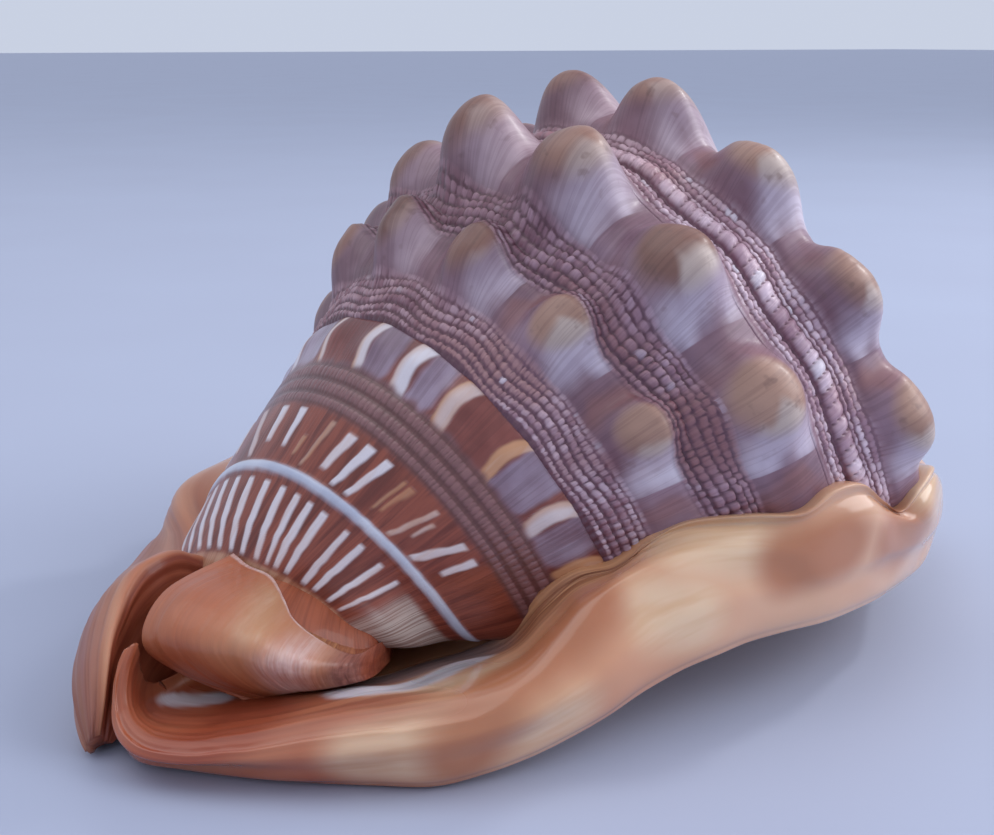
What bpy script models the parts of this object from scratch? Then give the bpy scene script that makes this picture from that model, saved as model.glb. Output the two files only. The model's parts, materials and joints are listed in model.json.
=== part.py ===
"""Bullmouth helmet shell, lying on its aperture, as one closed solid named shell.

Metres, +Z up. The shell grew as one piece: a coiled body whorl with rows of knobs, a low spire,
a thick rolled shield on the -Y side, an outer lip on the +Y side and a canal at the -X end.
"""
import math

import bmesh
import bpy
import numpy as np
from mathutils import Vector

# Driving dimensions, in metres and radians
MM = 0.001
AXIS_TILT = math.radians(17.96)      # how far the coiling axis dips towards the canal
APEX = Vector((0.0, 0.0, 0.038))     # where the coiling axis leaves the spire
GROWTH = 0.0631                      # natural log of the size gained per radian of coiling
COLUMN_FIRST = math.radians(95.86)   # turn angle of one column of knobs
COLUMN_STEP = math.radians(23.06)    # turn angle between columns
GROUND_FIT = Vector((62.7, -5.04, 0.0)) * MM  # puts the middle of the base on the origin
UNDERSIDE = 11.0 * MM                # the coil is squashed above this height, inside the base
UNDERSIDE_SOFT = 8.0 * MM            # depth over which the squash takes hold
SHELL_COLOUR = (0.58, 0.36, 0.30, 1.0)

# How finely the skins are divided
STEPS_PER_COLUMN = 6
SEEN_STEPS = (-35, 31)               # steps of the open back, counted from the first knob column
HIDDEN_STEPS = 14
ROWS = (
    2.5, 5.5, 8.5, 11.4, 14.2, 16.8, 19.2, 21.6, 25.0, 28.3, 31.6, 35.0, 39.0, 43.5, 47.5, 51.3, 55.0,
    58.6, 62.3, 66.0, 69.2, 72.4, 76.0, 79.6, 83.0, 87.0, 92.0, 97.0, 101.7, 107.0, 112.0, 116.0, 118.5,
)
RIM_STEPS = 60

# Profile of the coil: distance down the axis and radius, where the turn angle is a quarter turn
COIL_PROFILE = [
    (0.0, 0.0), (5.0, 7.2), (9.5, 14.8), (14.2, 22.2), (18.0, 28.5), (21.6, 33.6), (25.8, 41.5),
    (31.6, 48.6), (43.0, 50.0), (54.5, 50.5), (62.5, 47.5), (69.0, 43.0), (76.5, 39.0),
    (83.0, 35.5), (89.0, 32.0), (95.5, 28.2), (101.7, 24.2), (109.0, 19.0), (115.0, 14.0),
    (119.5, 6.0),
]
# Knob rows: distance down the axis, height, half width along it and around it
KNOB_ROWS = [
    (31.6, 9.3, 8.5, 10.0), (55.0, 9.8, 9.0, 10.5), (69.2, 5.5, 6.8, 8.0), (83.0, 1.8, 4.5, 6.0),
]
# Shift of the knob columns along the turn, at distances down the axis
COLUMN_DOWN = (0.0, 31.6, 55.0, 69.2, 83.0, 120.0)
COLUMN_SHIFT = (8.95, 8.95, 0.0, 4.25, 2.0, 2.0)

# Rim of the base, from the canal round the shield, the rear and the outer lip to the canal again:
# X and Y of the outermost point, underside height, crest height, how far in the crest is
RIM = [
    (-133.0, -15.0, 0.0, 8.0, 3.0), (-128.5, -27.0, 0.0, 8.5, 4.0), (-120.0, -36.0, 0.0, 9.0, 4.5),
    (-110.0, -42.0, 0.0, 9.5, 5.0), (-100.0, -46.0, 0.5, 10.5, 6.0), (-90.0, -47.5, 2.0, 13.0, 8.0),
    (-80.0, -47.5, 4.0, 17.0, 8.0), (-70.0, -47.0, 7.0, 23.0, 6.0), (-58.0, -47.5, 9.0, 27.0, 5.0),
    (-45.0, -47.5, 10.0, 28.0, 5.0), (-32.0, -45.5, 10.5, 27.0, 5.0), (-20.0, -40.0, 10.0, 25.0, 5.0),
    (-10.0, -33.0, 9.5, 23.0, 6.0), (-2.0, -25.0, 9.0, 22.0, 7.0), (4.0, -15.0, 8.0, 21.0, 8.0),
    (8.5, -2.0, 6.5, 21.0, 8.0), (11.0, 14.0, 4.5, 21.0, 8.0), (10.0, 30.0, 2.5, 22.0, 8.0),
    (4.0, 44.0, 1.0, 24.0, 8.0), (-12.0, 54.0, 0.0, 26.0, 7.0), (-30.0, 60.0, 0.0, 28.0, 7.0),
    (-50.0, 60.5, 0.0, 27.0, 7.0), (-68.0, 57.0, 0.0, 25.0, 7.0), (-84.0, 50.0, 0.0, 23.0, 7.0),
    (-98.0, 42.0, 0.0, 22.0, 6.0), (-110.0, 32.0, 0.0, 20.0, 6.0), (-120.0, 22.0, 0.0, 16.0, 6.0),
    (-128.0, 10.0, 0.0, 11.0, 5.0), (-134.0, -2.0, 0.0, 8.0, 4.0), (-136.0, -12.0, 0.0, 6.0, 3.0),
]
BASE_MIDDLE = (-60.0, 5.0)
DISH_FLOOR = 4.5

# Front of the outer lip beside the canal: X, Y of its inner edge, height there, Y of its outer foot
FLAP_STATIONS = [
    (-136.5, -13.5, 3.0, -9.0), (-134.0, -10.0, 8.0, 0.5), (-130.0, -6.0, 12.5, 9.5),
    (-126.0, -4.0, 16.5, 18.0), (-122.0, -3.0, 19.5, 23.0), (-117.0, -1.5, 20.5, 26.5),
    (-110.0, 2.0, 20.0, 28.0), (-102.0, 6.0, 18.0, 28.0), (-94.0, 8.0, 12.0, 26.0),
]
# Curled end of the old canal: height, middle X and Y, half length and half width
TONGUE_LEVELS = [
    (2.5, -117.0, -18.0, 12.5, 7.0), (8.0, -117.0, -17.5, 13.5, 7.6), (13.0, -117.2, -15.5, 12.5, 6.8),
    (17.5, -117.5, -12.5, 10.5, 5.2), (21.0, -118.0, -9.5, 7.0, 3.4), (23.0, -118.0, -8.0, 3.0, 1.4),
]
TONGUE_TURN = math.radians(-29.4)
# Canal and aperture, one curved slot: X, Y of its middle, width and height of its roof
SLOT_STATIONS = [
    (-142.0, -17.0, 6.0, 32.0), (-134.0, -12.5, 6.0, 32.0), (-126.0, -9.0, 5.5, 32.0),
    (-119.5, -6.0, 5.0, 30.0), (-115.0, -4.0, 5.5, 12.0), (-104.0, 0.0, 7.0, 13.0),
    (-88.0, 5.0, 9.0, 20.0), (-66.0, 10.0, 10.0, 25.0), (-42.0, 13.5, 10.0, 25.0),
    (-20.0, 13.5, 8.5, 19.0), (-5.0, 10.0, 6.0, 9.0),
]


def clear_scene():
    for item in list(bpy.data.objects):
        bpy.data.objects.remove(item, do_unlink=True)


def collection(name):
    made = bpy.data.collections.new(name)
    bpy.context.scene.collection.children.link(made)
    return made


def shell_material():
    made = bpy.data.materials.new("glossy_shell")
    made.use_nodes = True
    surface = made.node_tree.nodes["Principled BSDF"]
    surface.inputs["Base Color"].default_value = SHELL_COLOUR
    surface.inputs["Roughness"].default_value = 0.3
    surface.inputs["Metallic"].default_value = 0.0
    return made


def fine_curve(points, closed=False):
    """Many points along a smooth curve through the given ones."""
    given = np.array(points, dtype=float)
    if closed:
        given = np.vstack([given[-1], given, given[0], given[1]])
    else:
        given = np.vstack([2 * given[0] - given[1], given, 2 * given[-1] - given[-2]])
    fine = []
    for index in range(1, len(given) - 2):
        before, start, end, after = given[index - 1:index + 3]
        for step in np.linspace(0.0, 1.0, 12, endpoint=False):
            bend = (end - before) * step
            curve = (2 * before - 5 * start + 4 * end - after) * step ** 2
            twist = (3 * start - before - 3 * end + after) * step ** 3
            fine.append(start + 0.5 * (bend + curve + twist))
    fine.append(given[-2])
    return np.array(fine)


def spaced(points, count, closed=False):
    """Points evenly spaced in plan along the smooth curve through the given ones."""
    fine = fine_curve(points, closed)
    lengths = np.linalg.norm(np.diff(fine[:, :2], axis=0), axis=1)
    travel = np.concatenate([[0.0], np.cumsum(lengths)])
    wanted = np.linspace(0.0, travel[-1], count, endpoint=not closed)
    return np.column_stack([np.interp(wanted, travel, fine[:, k]) for k in range(fine.shape[1])])


def loft(name, rings, group, material):
    """Closed skin over a stack of rings, with the first and last ring filled."""
    count = len(rings[0])
    points = [point for ring in rings for point in ring]
    faces = []
    for level in range(len(rings) - 1):
        low = level * count
        high = low + count
        for step in range(count):
            ahead = (step + 1) % count
            faces.append((low + step, low + ahead, high + ahead, high + step))
    for level, order in ((0, -1), (len(rings) - 1, 1)):
        middle = len(points)
        ring = rings[level]
        points.append(sum((Vector(point) for point in ring), Vector()) / count)
        for step in range(count):
            ahead = (step + 1) % count
            pair = (level * count + step, level * count + ahead)
            faces.append((pair[0], pair[1], middle) if order > 0 else (pair[1], pair[0], middle))
    mesh = bpy.data.meshes.new(name)
    mesh.from_pydata([tuple(point) for point in points], [], faces)
    mesh.validate()
    made = bpy.data.objects.new(name, mesh)
    group.objects.link(made)
    made.data.materials.append(material)
    bpy.context.view_layer.objects.active = made
    made.select_set(True)
    bpy.ops.object.mode_set(mode="EDIT")
    bpy.ops.mesh.select_all(action="SELECT")
    bpy.ops.mesh.remove_doubles(threshold=0.00002)
    bpy.ops.mesh.dissolve_degenerate(threshold=0.00002)
    bpy.ops.mesh.quads_convert_to_tris(quad_method="SHORTEST_DIAGONAL")
    bpy.ops.mesh.normals_make_consistent(inside=False)
    bpy.ops.object.mode_set(mode="OBJECT")
    made.select_set(False)
    return made


def shell_size(turn):
    """Size of the whorl at a turn angle, brought round smoothly under the base."""
    open_from = math.radians(-40.0)
    open_to = math.radians(215.0)
    if turn <= open_to:
        return math.exp(GROWTH * (turn - math.pi / 2))
    share = (turn - open_to) / (open_from + 2 * math.pi - open_to)
    share = share * share * (3 - 2 * share)
    large = math.exp(GROWTH * (open_to - math.pi / 2))
    small = math.exp(GROWTH * (open_from - math.pi / 2))
    return large + (small - large) * share


def columns(turn, down):
    """Place among the knob columns: whole numbers lie on a column."""
    shift = math.radians(np.interp(down, COLUMN_DOWN, COLUMN_SHIFT))
    return (turn - COLUMN_FIRST - shift) / COLUMN_STEP


def dome(reach):
    """Height of a round-topped knob, from 1 on its middle to 0 where reach is 1 or more."""
    return (1.0 - min(reach, 1.0) ** 2) ** 1.3


def knob_height(turn, down):
    """Knobs of the body whorl."""
    column = columns(turn, down)
    around = (column - round(column)) * COLUMN_STEP * 50.0
    total = 0.0
    for row, height, half_along, half_around in KNOB_ROWS:
        total += height * dome(math.hypot((down - row) / half_along, around / half_around))
    near_lip = min(1.0, max(0.0, (math.radians(208.0) - turn) / math.radians(25.0)))
    near_shield = min(1.0, max(0.0, (turn + math.radians(14.0)) / math.radians(12.0)))
    return total * near_lip * near_shield


def spire_height(turn, radius):
    """Knobs that the earlier whorls show along the suture of the spire."""
    if radius > 40.0 or radius < 3.0:
        return 0.0
    whorl = math.log(radius / 48.6) / (2 * math.pi * GROWTH)
    nearest = round(whorl)
    column = columns(turn + nearest * 2 * math.pi, 0.0)
    ridge = math.exp(-((whorl - nearest) / 0.2) ** 2)
    return radius * ridge * (0.05 + 0.09 * dome(abs(column - round(column)) / 0.45))


def coil_point(turn, down, radius, lift):
    """Place on the coil, with lift straight out from the surface."""
    axis = Vector((math.cos(AXIS_TILT), 0.0, math.sin(AXIS_TILT)))
    right = Vector((0.0, -1.0, 0.0))
    up = Vector((-math.sin(AXIS_TILT), 0.0, math.cos(AXIS_TILT)))
    outward = right * math.cos(turn) + up * math.sin(turn)
    size = shell_size(turn)
    point = APEX - axis * (down * size * MM) + outward * (radius * size * MM)
    tilt = 0.5 if down < 30.0 else 0.0
    point += (outward * math.cos(tilt) + axis * math.sin(tilt)) * (lift * size * MM)
    front = min(1.0, max(0.0, (-0.068 - point.x) / 0.026))
    floor = UNDERSIDE + UNDERSIDE_SOFT - 10.0 * MM * front
    if point.z < floor:
        point.z = floor - UNDERSIDE_SOFT * (1.0 - math.exp((point.z - floor) / UNDERSIDE_SOFT))
    return point


def turns(down):
    """Turn angles of one row: on the knob columns over the back, coarser under the base."""
    shift = math.radians(np.interp(down, COLUMN_DOWN, COLUMN_SHIFT))
    step = COLUMN_STEP / STEPS_PER_COLUMN
    seen = [COLUMN_FIRST + shift + index * step for index in range(SEEN_STEPS[0], SEEN_STEPS[1] + 1)]
    rest = seen[0] + 2 * math.pi - seen[-1]
    return seen + [seen[-1] + rest * (index + 1) / HIDDEN_STEPS for index in range(HIDDEN_STEPS - 1)]


def body_whorl(group, material):
    """Spire and body whorl in one skin, with its four rows of knobs."""
    profile = fine_curve(COIL_PROFILE)
    rings = []
    for down in ROWS:
        radius = float(np.interp(down, profile[:, 0], profile[:, 1]))
        ring = []
        for turn in turns(down):
            lift = knob_height(turn, down) + spire_height(turn, radius)
            ring.append(coil_point(turn, down, radius, lift))
        rings.append(ring)
    return loft("body_whorl", rings, group, material)


def base_rim(group, material):
    """Shield, outer lip and rear callus: a flat base with a rolled rim all round."""
    stations = spaced(RIM, RIM_STEPS, closed=True)
    middle = Vector((BASE_MIDDLE[0], BASE_MIDDLE[1], 0.0))

    def ring(inset, share, height):
        points = []
        for x, y, under, crest, crest_in in stations:
            edge = Vector((x, y, 0.0))
            inward = (middle - edge).normalized()
            attached = min(1.0, max(0.0, (crest - 10.0) / 8.0))
            place = (edge + inward * inset(crest_in)) * share + middle * (1.0 - share)
            place.z = max(0.0, height(under, crest, attached))
            points.append(place * MM)
        return points

    rings = [
        ring(lambda c: 0.0, 0.10, lambda u, k, a: 0.0),
        ring(lambda c: 0.0, 0.47, lambda u, k, a: 0.0),
        ring(lambda c: 0.0, 0.63, lambda u, k, a: 0.42 * u),
        ring(lambda c: 0.0, 0.78, lambda u, k, a: 0.86 * u),
        ring(lambda c: c - 1.0, 1.0, lambda u, k, a: u),
        ring(lambda c: 0.30 * c, 1.0, lambda u, k, a: u + 0.16 * (k - u)),
        ring(lambda c: 0.0, 1.0, lambda u, k, a: u + 0.42 * (k - u)),
        ring(lambda c: 0.14 * c, 1.0, lambda u, k, a: u + 0.68 * (k - u)),
        ring(lambda c: 0.45 * c, 1.0, lambda u, k, a: u + 0.90 * (k - u)),
        ring(lambda c: c, 1.0, lambda u, k, a: k),
        ring(lambda c: c + 4.0, 1.0, lambda u, k, a: (k - 2.0) * a + (k - 1.5) * (1 - a)),
        ring(lambda c: c + 9.0, 1.0, lambda u, k, a: (k - 4.0) * a + DISH_FLOOR * (1 - a)),
        ring(lambda c: 0.0, 0.66, lambda u, k, a: 18.0 * a + DISH_FLOOR * (1 - a)),
        ring(lambda c: 0.0, 0.10, lambda u, k, a: 20.0),
    ]
    return loft("base_rim", rings, group, material)


def lip_flap(group, material):
    """Front of the outer lip, rising beside the canal."""
    rings = []
    for x, inner, height, outer in spaced(FLAP_STATIONS, 12):
        wide = outer - inner
        section = [
            (inner + 0.5, 0.0), (inner - 0.2, 0.45 * height), (inner, 0.9 * height),
            (inner + 0.08 * wide, height), (inner + 0.35 * wide, 0.93 * height),
            (inner + 0.62 * wide, 0.74 * height), (inner + 0.88 * wide, 0.48 * height),
            (outer, 0.2 * height), (outer - 0.06 * wide, 0.0), (inner + 0.5 * wide, 0.0),
        ]
        rings.append([Vector((x, y, z)) * MM for y, z in section])
    return loft("lip_flap", rings, group, material)


def tongue(group, material):
    """Curled end of the old canal, a rounded plate that leans on the neck of the shell."""
    along = Vector((math.cos(TONGUE_TURN), math.sin(TONGUE_TURN), 0.0))
    across = Vector((-along.y, along.x, 0.0))
    rings = []
    for z, x, y, length, width in spaced(TONGUE_LEVELS, 9):
        ring = []
        for step in range(22):
            angle = 2 * math.pi * step / 22
            bow = across * (0.35 * width * math.cos(2 * angle))
            place = Vector((x, y, z)) + along * (length * math.cos(angle))
            ring.append((place + across * (width * math.sin(angle)) + bow) * MM)
        rings.append(ring)
    return loft("tongue", rings, group, material)


def slot_cutter(group, material):
    """Narrow curved slot: open at the canal, closed at the rear, arched inside."""
    stations = spaced(SLOT_STATIONS, 22)
    rings = []
    for index, (x, y, width, roof) in enumerate(stations):
        ahead = stations[min(index + 1, len(stations) - 1)]
        behind = stations[max(index - 1, 0)]
        along = Vector((ahead[0] - behind[0], ahead[1] - behind[1], 0.0)).normalized()
        across = Vector((-along.y, along.x, 0.0))
        section = [(-0.5, -3.0), (-0.5, 0.6), (-0.42, 0.85), (0.0, 1.0), (0.42, 0.85), (0.5, 0.6), (0.5, -3.0)]
        ring = []
        for side, rise in section:
            height = rise if rise < 0 else rise * roof
            ring.append((Vector((x, y, height)) + across * (side * width)) * MM)
        rings.append(ring)
    return loft("slot_cutter", rings, group, material)


def boolean(target, other, operation):
    bpy.context.view_layer.objects.active = target
    step = target.modifiers.new(operation.lower(), "BOOLEAN")
    step.operation = operation
    step.solver = "EXACT"
    step.object = other
    bpy.ops.object.modifier_apply(modifier=step.name)


def tidy(target):
    """Merge the slivers that the unions leave and drop any crumb that isn't joined to the rest."""
    mesh = bmesh.new()
    mesh.from_mesh(target.data)
    bmesh.ops.remove_doubles(mesh, verts=mesh.verts[:], dist=0.005 * MM)
    bmesh.ops.dissolve_degenerate(mesh, dist=0.01 * MM, edges=mesh.edges[:])
    islands = []
    unseen = set(mesh.verts)
    while unseen:
        island = set()
        front = [next(iter(unseen))]
        while front:
            vertex = front.pop()
            if vertex not in island:
                island.add(vertex)
                front += [edge.other_vert(vertex) for edge in vertex.link_edges]
        unseen -= island
        islands.append(island)
    islands.sort(key=len)
    crumbs = [vertex for island in islands[:-1] for vertex in island]
    bmesh.ops.delete(mesh, geom=crumbs, context="VERTS")
    bmesh.ops.triangulate(mesh, faces=mesh.faces[:])
    bmesh.ops.recalc_face_normals(mesh, faces=mesh.faces[:])
    mesh.to_mesh(target.data)
    mesh.free()


def main():
    clear_scene()
    pieces = collection("bullmouth_helmet_shell")
    cutters = collection("cutters")
    material = shell_material()
    shell = body_whorl(pieces, material)
    for grown in (base_rim, lip_flap, tongue):
        other = grown(cutters, material)
        boolean(shell, other, "UNION")
        bpy.data.objects.remove(other, do_unlink=True)
    slot = slot_cutter(cutters, material)
    boolean(shell, slot, "DIFFERENCE")
    tidy(shell)
    slot.hide_render = True
    slot.display_type = "WIRE"
    shell.name = "shell"
    shell.data.name = "shell"
    for vertex in shell.data.vertices:
        vertex.co += GROUND_FIT
    slot.location = GROUND_FIT


main()
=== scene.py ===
"""Looks of the bullmouth helmet shell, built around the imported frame.

The whorl is a log spiral: a place on it is a turn angle round the coiling axis and a distance down
that axis. Bands, cords, beads, knobs and markings all follow these two, so both are kept as the
UV map of each coiled piece. Lengths are in millimetres until a piece is placed.
"""
import json
import math

import bpy
import numpy as np
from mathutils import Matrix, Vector

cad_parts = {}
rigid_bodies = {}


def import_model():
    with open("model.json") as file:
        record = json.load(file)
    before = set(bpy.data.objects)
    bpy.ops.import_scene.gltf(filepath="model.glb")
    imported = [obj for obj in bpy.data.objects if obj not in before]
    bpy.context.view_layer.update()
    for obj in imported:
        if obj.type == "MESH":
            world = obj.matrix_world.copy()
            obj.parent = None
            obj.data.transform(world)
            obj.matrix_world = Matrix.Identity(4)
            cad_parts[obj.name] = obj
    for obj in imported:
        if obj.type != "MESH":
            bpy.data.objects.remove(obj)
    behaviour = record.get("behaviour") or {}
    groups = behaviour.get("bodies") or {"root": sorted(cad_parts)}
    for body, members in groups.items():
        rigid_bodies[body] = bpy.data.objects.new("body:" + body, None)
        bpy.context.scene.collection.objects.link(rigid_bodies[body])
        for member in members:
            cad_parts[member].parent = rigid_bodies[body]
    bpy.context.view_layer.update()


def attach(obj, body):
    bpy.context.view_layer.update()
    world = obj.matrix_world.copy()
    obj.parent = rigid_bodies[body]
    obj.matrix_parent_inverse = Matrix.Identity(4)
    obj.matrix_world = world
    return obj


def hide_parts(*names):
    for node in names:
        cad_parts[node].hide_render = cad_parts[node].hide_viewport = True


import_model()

MM = 0.001

# The coil
MIDDLE = np.array([62.7, -5.04, 0.0])            # from the coil's own origin to the base's middle
APEX = np.array([0.0, 0.0, 38.0])
TILT = math.radians(17.96)
AXIS = np.array([math.cos(TILT), 0.0, math.sin(TILT)])
RIGHT = np.array([0.0, -1.0, 0.0])
BACK = np.array([-math.sin(TILT), 0.0, math.cos(TILT)])
GROWTH = 0.0631                                  # of the log spiral, for each radian of turn
FIRST_COLUMN = math.radians(95.86)
COLUMN = math.radians(23.06)                     # from one column of knobs to the next
KNOB_RADIUS = 50.0                               # where the knobs' widths are measured
PROFILE_DOWN = (
    0, 5, 9.5, 14.2, 18, 21.6, 25.8, 31.6, 43, 54.5, 62.5, 69, 76.5, 83, 89, 95.5, 101.7, 109, 115, 119.5,
)
PROFILE_RADIUS = (
    0, 7.2, 14.8, 22.2, 28.5, 33.6, 41.5, 48.6, 50, 50.5, 47.5, 43, 39, 35.5, 32, 28.2, 24.2, 19, 14, 6,
)

# Knob rows: distance down, reach along and around, shift of the columns in degrees
KNOBS = {
    "shoulder": (31.6, 11.6, 12.6, 8.95),
    "crown": (54.8, 11.6, 12.6, 0.0),
    "third": (69.4, 8.4, 10.2, 4.25),
}
# Height of each knob in its row, from behind the lip to the rim; the last of each row is glazed over
KNOB_HEIGHTS = {
    "shoulder": (1.5, 6.6, 6.2, 5.8, 7.8, 7.6, 7.2, 6.2, 5.4, 0.6),
    "crown": (0.0, 5.2, 6.6, 5.4, 8.6, 8.8, 7.2, 5.4, 0.0, 0.0),
    "third": (0.0, 3.8, 4.8, 5.6, 6.0, 5.2, 4.8, 4.2, 1.0, 0.0),
}
FIRST_KNOB = -4                                  # number of the first column in these rows
# Smooth bands: distance down, half width, height
BANDS = ((31.0, 6.3, 1.2), (53.6, 5.6, 1.2), (70.0, 2.9, 0.9))
# Beaded cords: distance down, half width, height, beads in one riblet's width
CORDS = (
    (37.3, 0.42, 0.3, 1.6), (38.3, 0.5, 0.4, 1.35), (39.4, 0.62, 0.55, 1.35), (40.5, 0.4, 0.35, 1.35),
    (43.0, 1.9, 1.25, 0.78),
    (45.6, 0.45, 0.4, 1.35), (46.6, 0.62, 0.6, 1.35), (47.7, 0.5, 0.45, 1.35), (48.6, 0.38, 0.3, 1.6),
    (59.7, 0.4, 0.3, 1.6), (60.6, 0.45, 0.4, 1.35), (61.6, 0.55, 0.55, 1.35), (62.9, 0.75, 0.75, 1.1),
    (64.3, 0.68, 0.7, 1.1), (65.6, 0.5, 0.45, 1.35), (66.6, 0.4, 0.3, 1.6),
    (73.3, 0.4, 0.3, 1.6), (74.2, 0.46, 0.4, 1.5), (75.3, 0.56, 0.5, 1.35), (76.6, 0.62, 0.6, 1.2),
    (77.9, 0.52, 0.45, 1.35), (79.0, 0.4, 0.3, 1.6),
    (88.2, 0.8, 0.28, 1.1), (90.2, 0.75, 0.26, 1.1), (92.0, 0.6, 0.2, 1.1),
)
RIBLET = math.radians(1.92)
MAP_RIBLETS, MAP_DOWN = 100.0, 120.0             # what the map of a coiled piece spans
MAP_STRIP = 200.0                                # and that of a glazed piece, in millimetres
OPEN_FROM = math.radians(-20.0)
OPEN_TO = math.radians(206.0)
HIDDEN_FLOOR = 7.0                               # the whorls flatten here, inside the rim and the lip
FLOOR_BEND = 1.5
# The spire: a whorl's section from its upper seam out, as distance down and radius
SPIRE_WHORLS = 6.5
SPIRE_PROFILE = np.array((
    (24.6, 30), (23, 32), (22.5, 34), (23.3, 36.8), (24.8, 39.7),
    (26.8, 43), (29.2, 46.4), (31.8, 48.4), (34.4, 49.3), (36.4, 49.2),
))
TIP_DOWN = 2.8
TIP_RADII = (4.0, 4.0, 1.9)


def wave(place, seed):
    """Smooth noise along one coordinate, from -1 to 1."""
    whole = np.floor(place)
    part = place - whole
    part = part * part * (3 - 2 * part)

    def value(cell):
        return np.modf(np.abs(np.sin(cell * 12.9898 + seed * 78.233) * 43758.5453))[0] * 2 - 1
    return value(whole) * (1 - part) + value(whole + 1) * part


def most(*values):
    return np.maximum.reduce(np.broadcast_arrays(*values))


def plateau(place, middle, half, soft):
    return 0.5 * (np.tanh((place - middle + half) / soft) - np.tanh((place - middle - half) / soft))


def ease(low, high, value):
    """0 at low, 1 at high, eased between; low may be the larger one."""
    share = np.clip((value - low) / (high - low), 0, 1)
    return share * share * (3 - 2 * share)


def size(turn):
    return np.exp(GROWTH * (turn - math.pi / 2))


def fine_radius(down):
    """Radius of the bare coil, smoothed through the profile's points."""
    fine = np.linspace(0, 119.5, 480)
    raw = np.interp(fine, PROFILE_DOWN, PROFILE_RADIUS)
    kernel = np.hanning(19) / np.hanning(19).sum()
    padded = np.pad(raw, 9, mode="reflect", reflect_type="odd")
    return np.interp(down, fine, np.convolve(padded, kernel, mode="valid"))


def knob_map(turn, down):
    """Lift of the knobs, how near a knob's top a place is, where it is in its tile, and the bent rows. The pale
    trail behind each knob in the tile is partly painted light, stronger on the lit side.
    """
    lift = np.zeros_like(down)
    top = np.zeros_like(down)
    tile = np.zeros_like(down)
    spread = np.zeros_like(down)
    pitch = COLUMN * KNOB_RADIUS
    for name, (row, along, around, shift) in KNOBS.items():
        column = -(turn - FIRST_COLUMN - math.radians(shift)) / COLUMN
        nearest = np.round(column)
        heights = np.array(KNOB_HEIGHTS[name])
        numbers = np.clip(nearest - FIRST_KNOB, 0, len(heights) - 1).astype(int)
        height = heights[numbers]
        offset = (column - nearest) * pitch
        swayed = offset + (1.3 * wave(down * 0.42 + nearest * 3.7, 17) + 0.5 * wave(down * 1.1 + nearest, 19))
        beside = (down - row) / along
        reach = np.sqrt(beside ** 2 + (offset / np.where(offset < 0, 0.84 * around, around)) ** 2)
        dome = np.exp(-(reach / 0.585) ** 4.2)
        ridge = np.exp(-(np.abs(beside) / 0.48) ** 3.5)
        for far, tall in ((offset, height), (offset + pitch, heights[np.maximum(numbers - 1, 0)])):
            trail = ease(-4.0, 2.0, far) * np.clip(1 - far / 16.5, 0, 1)
            lift += 0.24 * tall * ridge * trail
        lift += 0.82 * height * dome
        top = np.maximum(top, dome * np.clip(height / 4.0, 0, 1))
        near_row = plateau(down, row, 0.52 * along, 1.6)
        # Painted light: the trail behind each knob is laid strongest where the coil faces the light (turns under
        # 70 degrees) and fades away from it.
        lit = 0.35 + 0.65 * ease(math.radians(125), math.radians(70), turn)
        behind = lit * np.exp(-((swayed - 6.0) / 4.6) ** 2)
        tile += near_row * (behind - np.exp(-((swayed + 6.2) / 2.4) ** 2))
        near = np.exp(-(offset / (0.55 * around)) ** 2) * height / 8.0
        spread += 2.6 * near * (down - row) / 6.0 * np.exp(-((down - row) / 9.0) ** 2)
    return lift, top, tile, down - spread


def riblet_phase(turn, down):
    """Number of the axial riblet at each place; the riblets lean a little and are uneven."""
    phase = turn / RIBLET + 0.1 * (down - 60.0) + 0.3 * np.sin(down / 7.0)
    return phase + 0.55 * wave(phase * 0.31, 3) + 0.25 * wave(phase * 0.73, 8)


def cord_map(turn, pattern_down):
    """Height of the beaded cords, how high on a bead each place is, and each bead's own tint."""
    phase = riblet_phase(turn, pattern_down)
    lift = np.zeros_like(pattern_down)
    bead = np.zeros_like(pattern_down)
    tint = np.zeros_like(pattern_down)
    for seed, (row, half, height, rate) in enumerate(CORDS):
        across = np.clip(1 - ((pattern_down - row) / half) ** 2, 0, 1) ** 0.6
        beads = phase * rate + 0.5 * wave(phase * 0.13, seed + 40) + 0.37 * seed
        within = np.abs(beads - np.floor(beads) - 0.5) * 2
        gap = np.clip(1 - within ** (6.0 if half > 1.2 else 3.2), 0, 1) ** 0.7
        rise = across * (0.22 + 0.78 * gap)
        uneven = 1 + 0.22 * wave(np.floor(beads) + 0.5, seed + 11)
        lift = np.maximum(lift, height * rise * uneven)
        here = rise > bead
        tint = np.where(here, wave(np.floor(beads) + 0.5, seed + 23), tint)
        bead = np.maximum(bead, rise)
    return lift, bead, tint


def outward(turn):
    return np.cos(turn)[:, None] * RIGHT + np.sin(turn)[:, None] * BACK


def above(floor, height):
    """Heights kept above a floor, with a soft bend."""
    return floor + FLOOR_BEND * np.logaddexp(0, (height - floor) / FLOOR_BEND)


def coil_place(turn, down, lift, lean=0.0):
    """Places on the coil; lift is straight out from the axis."""
    grown = size(turn)
    along = (down - lean * lift) * grown
    places = APEX + MIDDLE - AXIS * along[:, None]
    places = places + outward(turn) * ((fine_radius(down) + lift) * grown)[:, None]
    places[:, 2] = above(HIDDEN_FLOOR, places[:, 2])
    return places


def tucked(turn):
    """How far the whorl sinks where it runs in under the rim and behind the lip, in millimetres."""
    under_rim = 7.0 * ease(math.radians(-13), OPEN_FROM, turn)
    return under_rim + 8.0 * ease(math.radians(174), math.radians(190), turn)


def deselect():
    for item in bpy.context.view_layer.objects:
        item.select_set(False)


def open_to_edit(piece):
    deselect()
    piece.select_set(True)
    bpy.context.view_layer.objects.active = piece
    bpy.ops.object.mode_set(mode="EDIT")
    bpy.ops.mesh.select_mode(type="VERT")


def close_edit():
    """Face everything outwards, smooth."""
    bpy.ops.mesh.select_all(action="SELECT")
    bpy.ops.mesh.normals_make_consistent(inside=False)
    bpy.ops.object.mode_set(mode="OBJECT")
    bpy.ops.object.shade_smooth()


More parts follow.
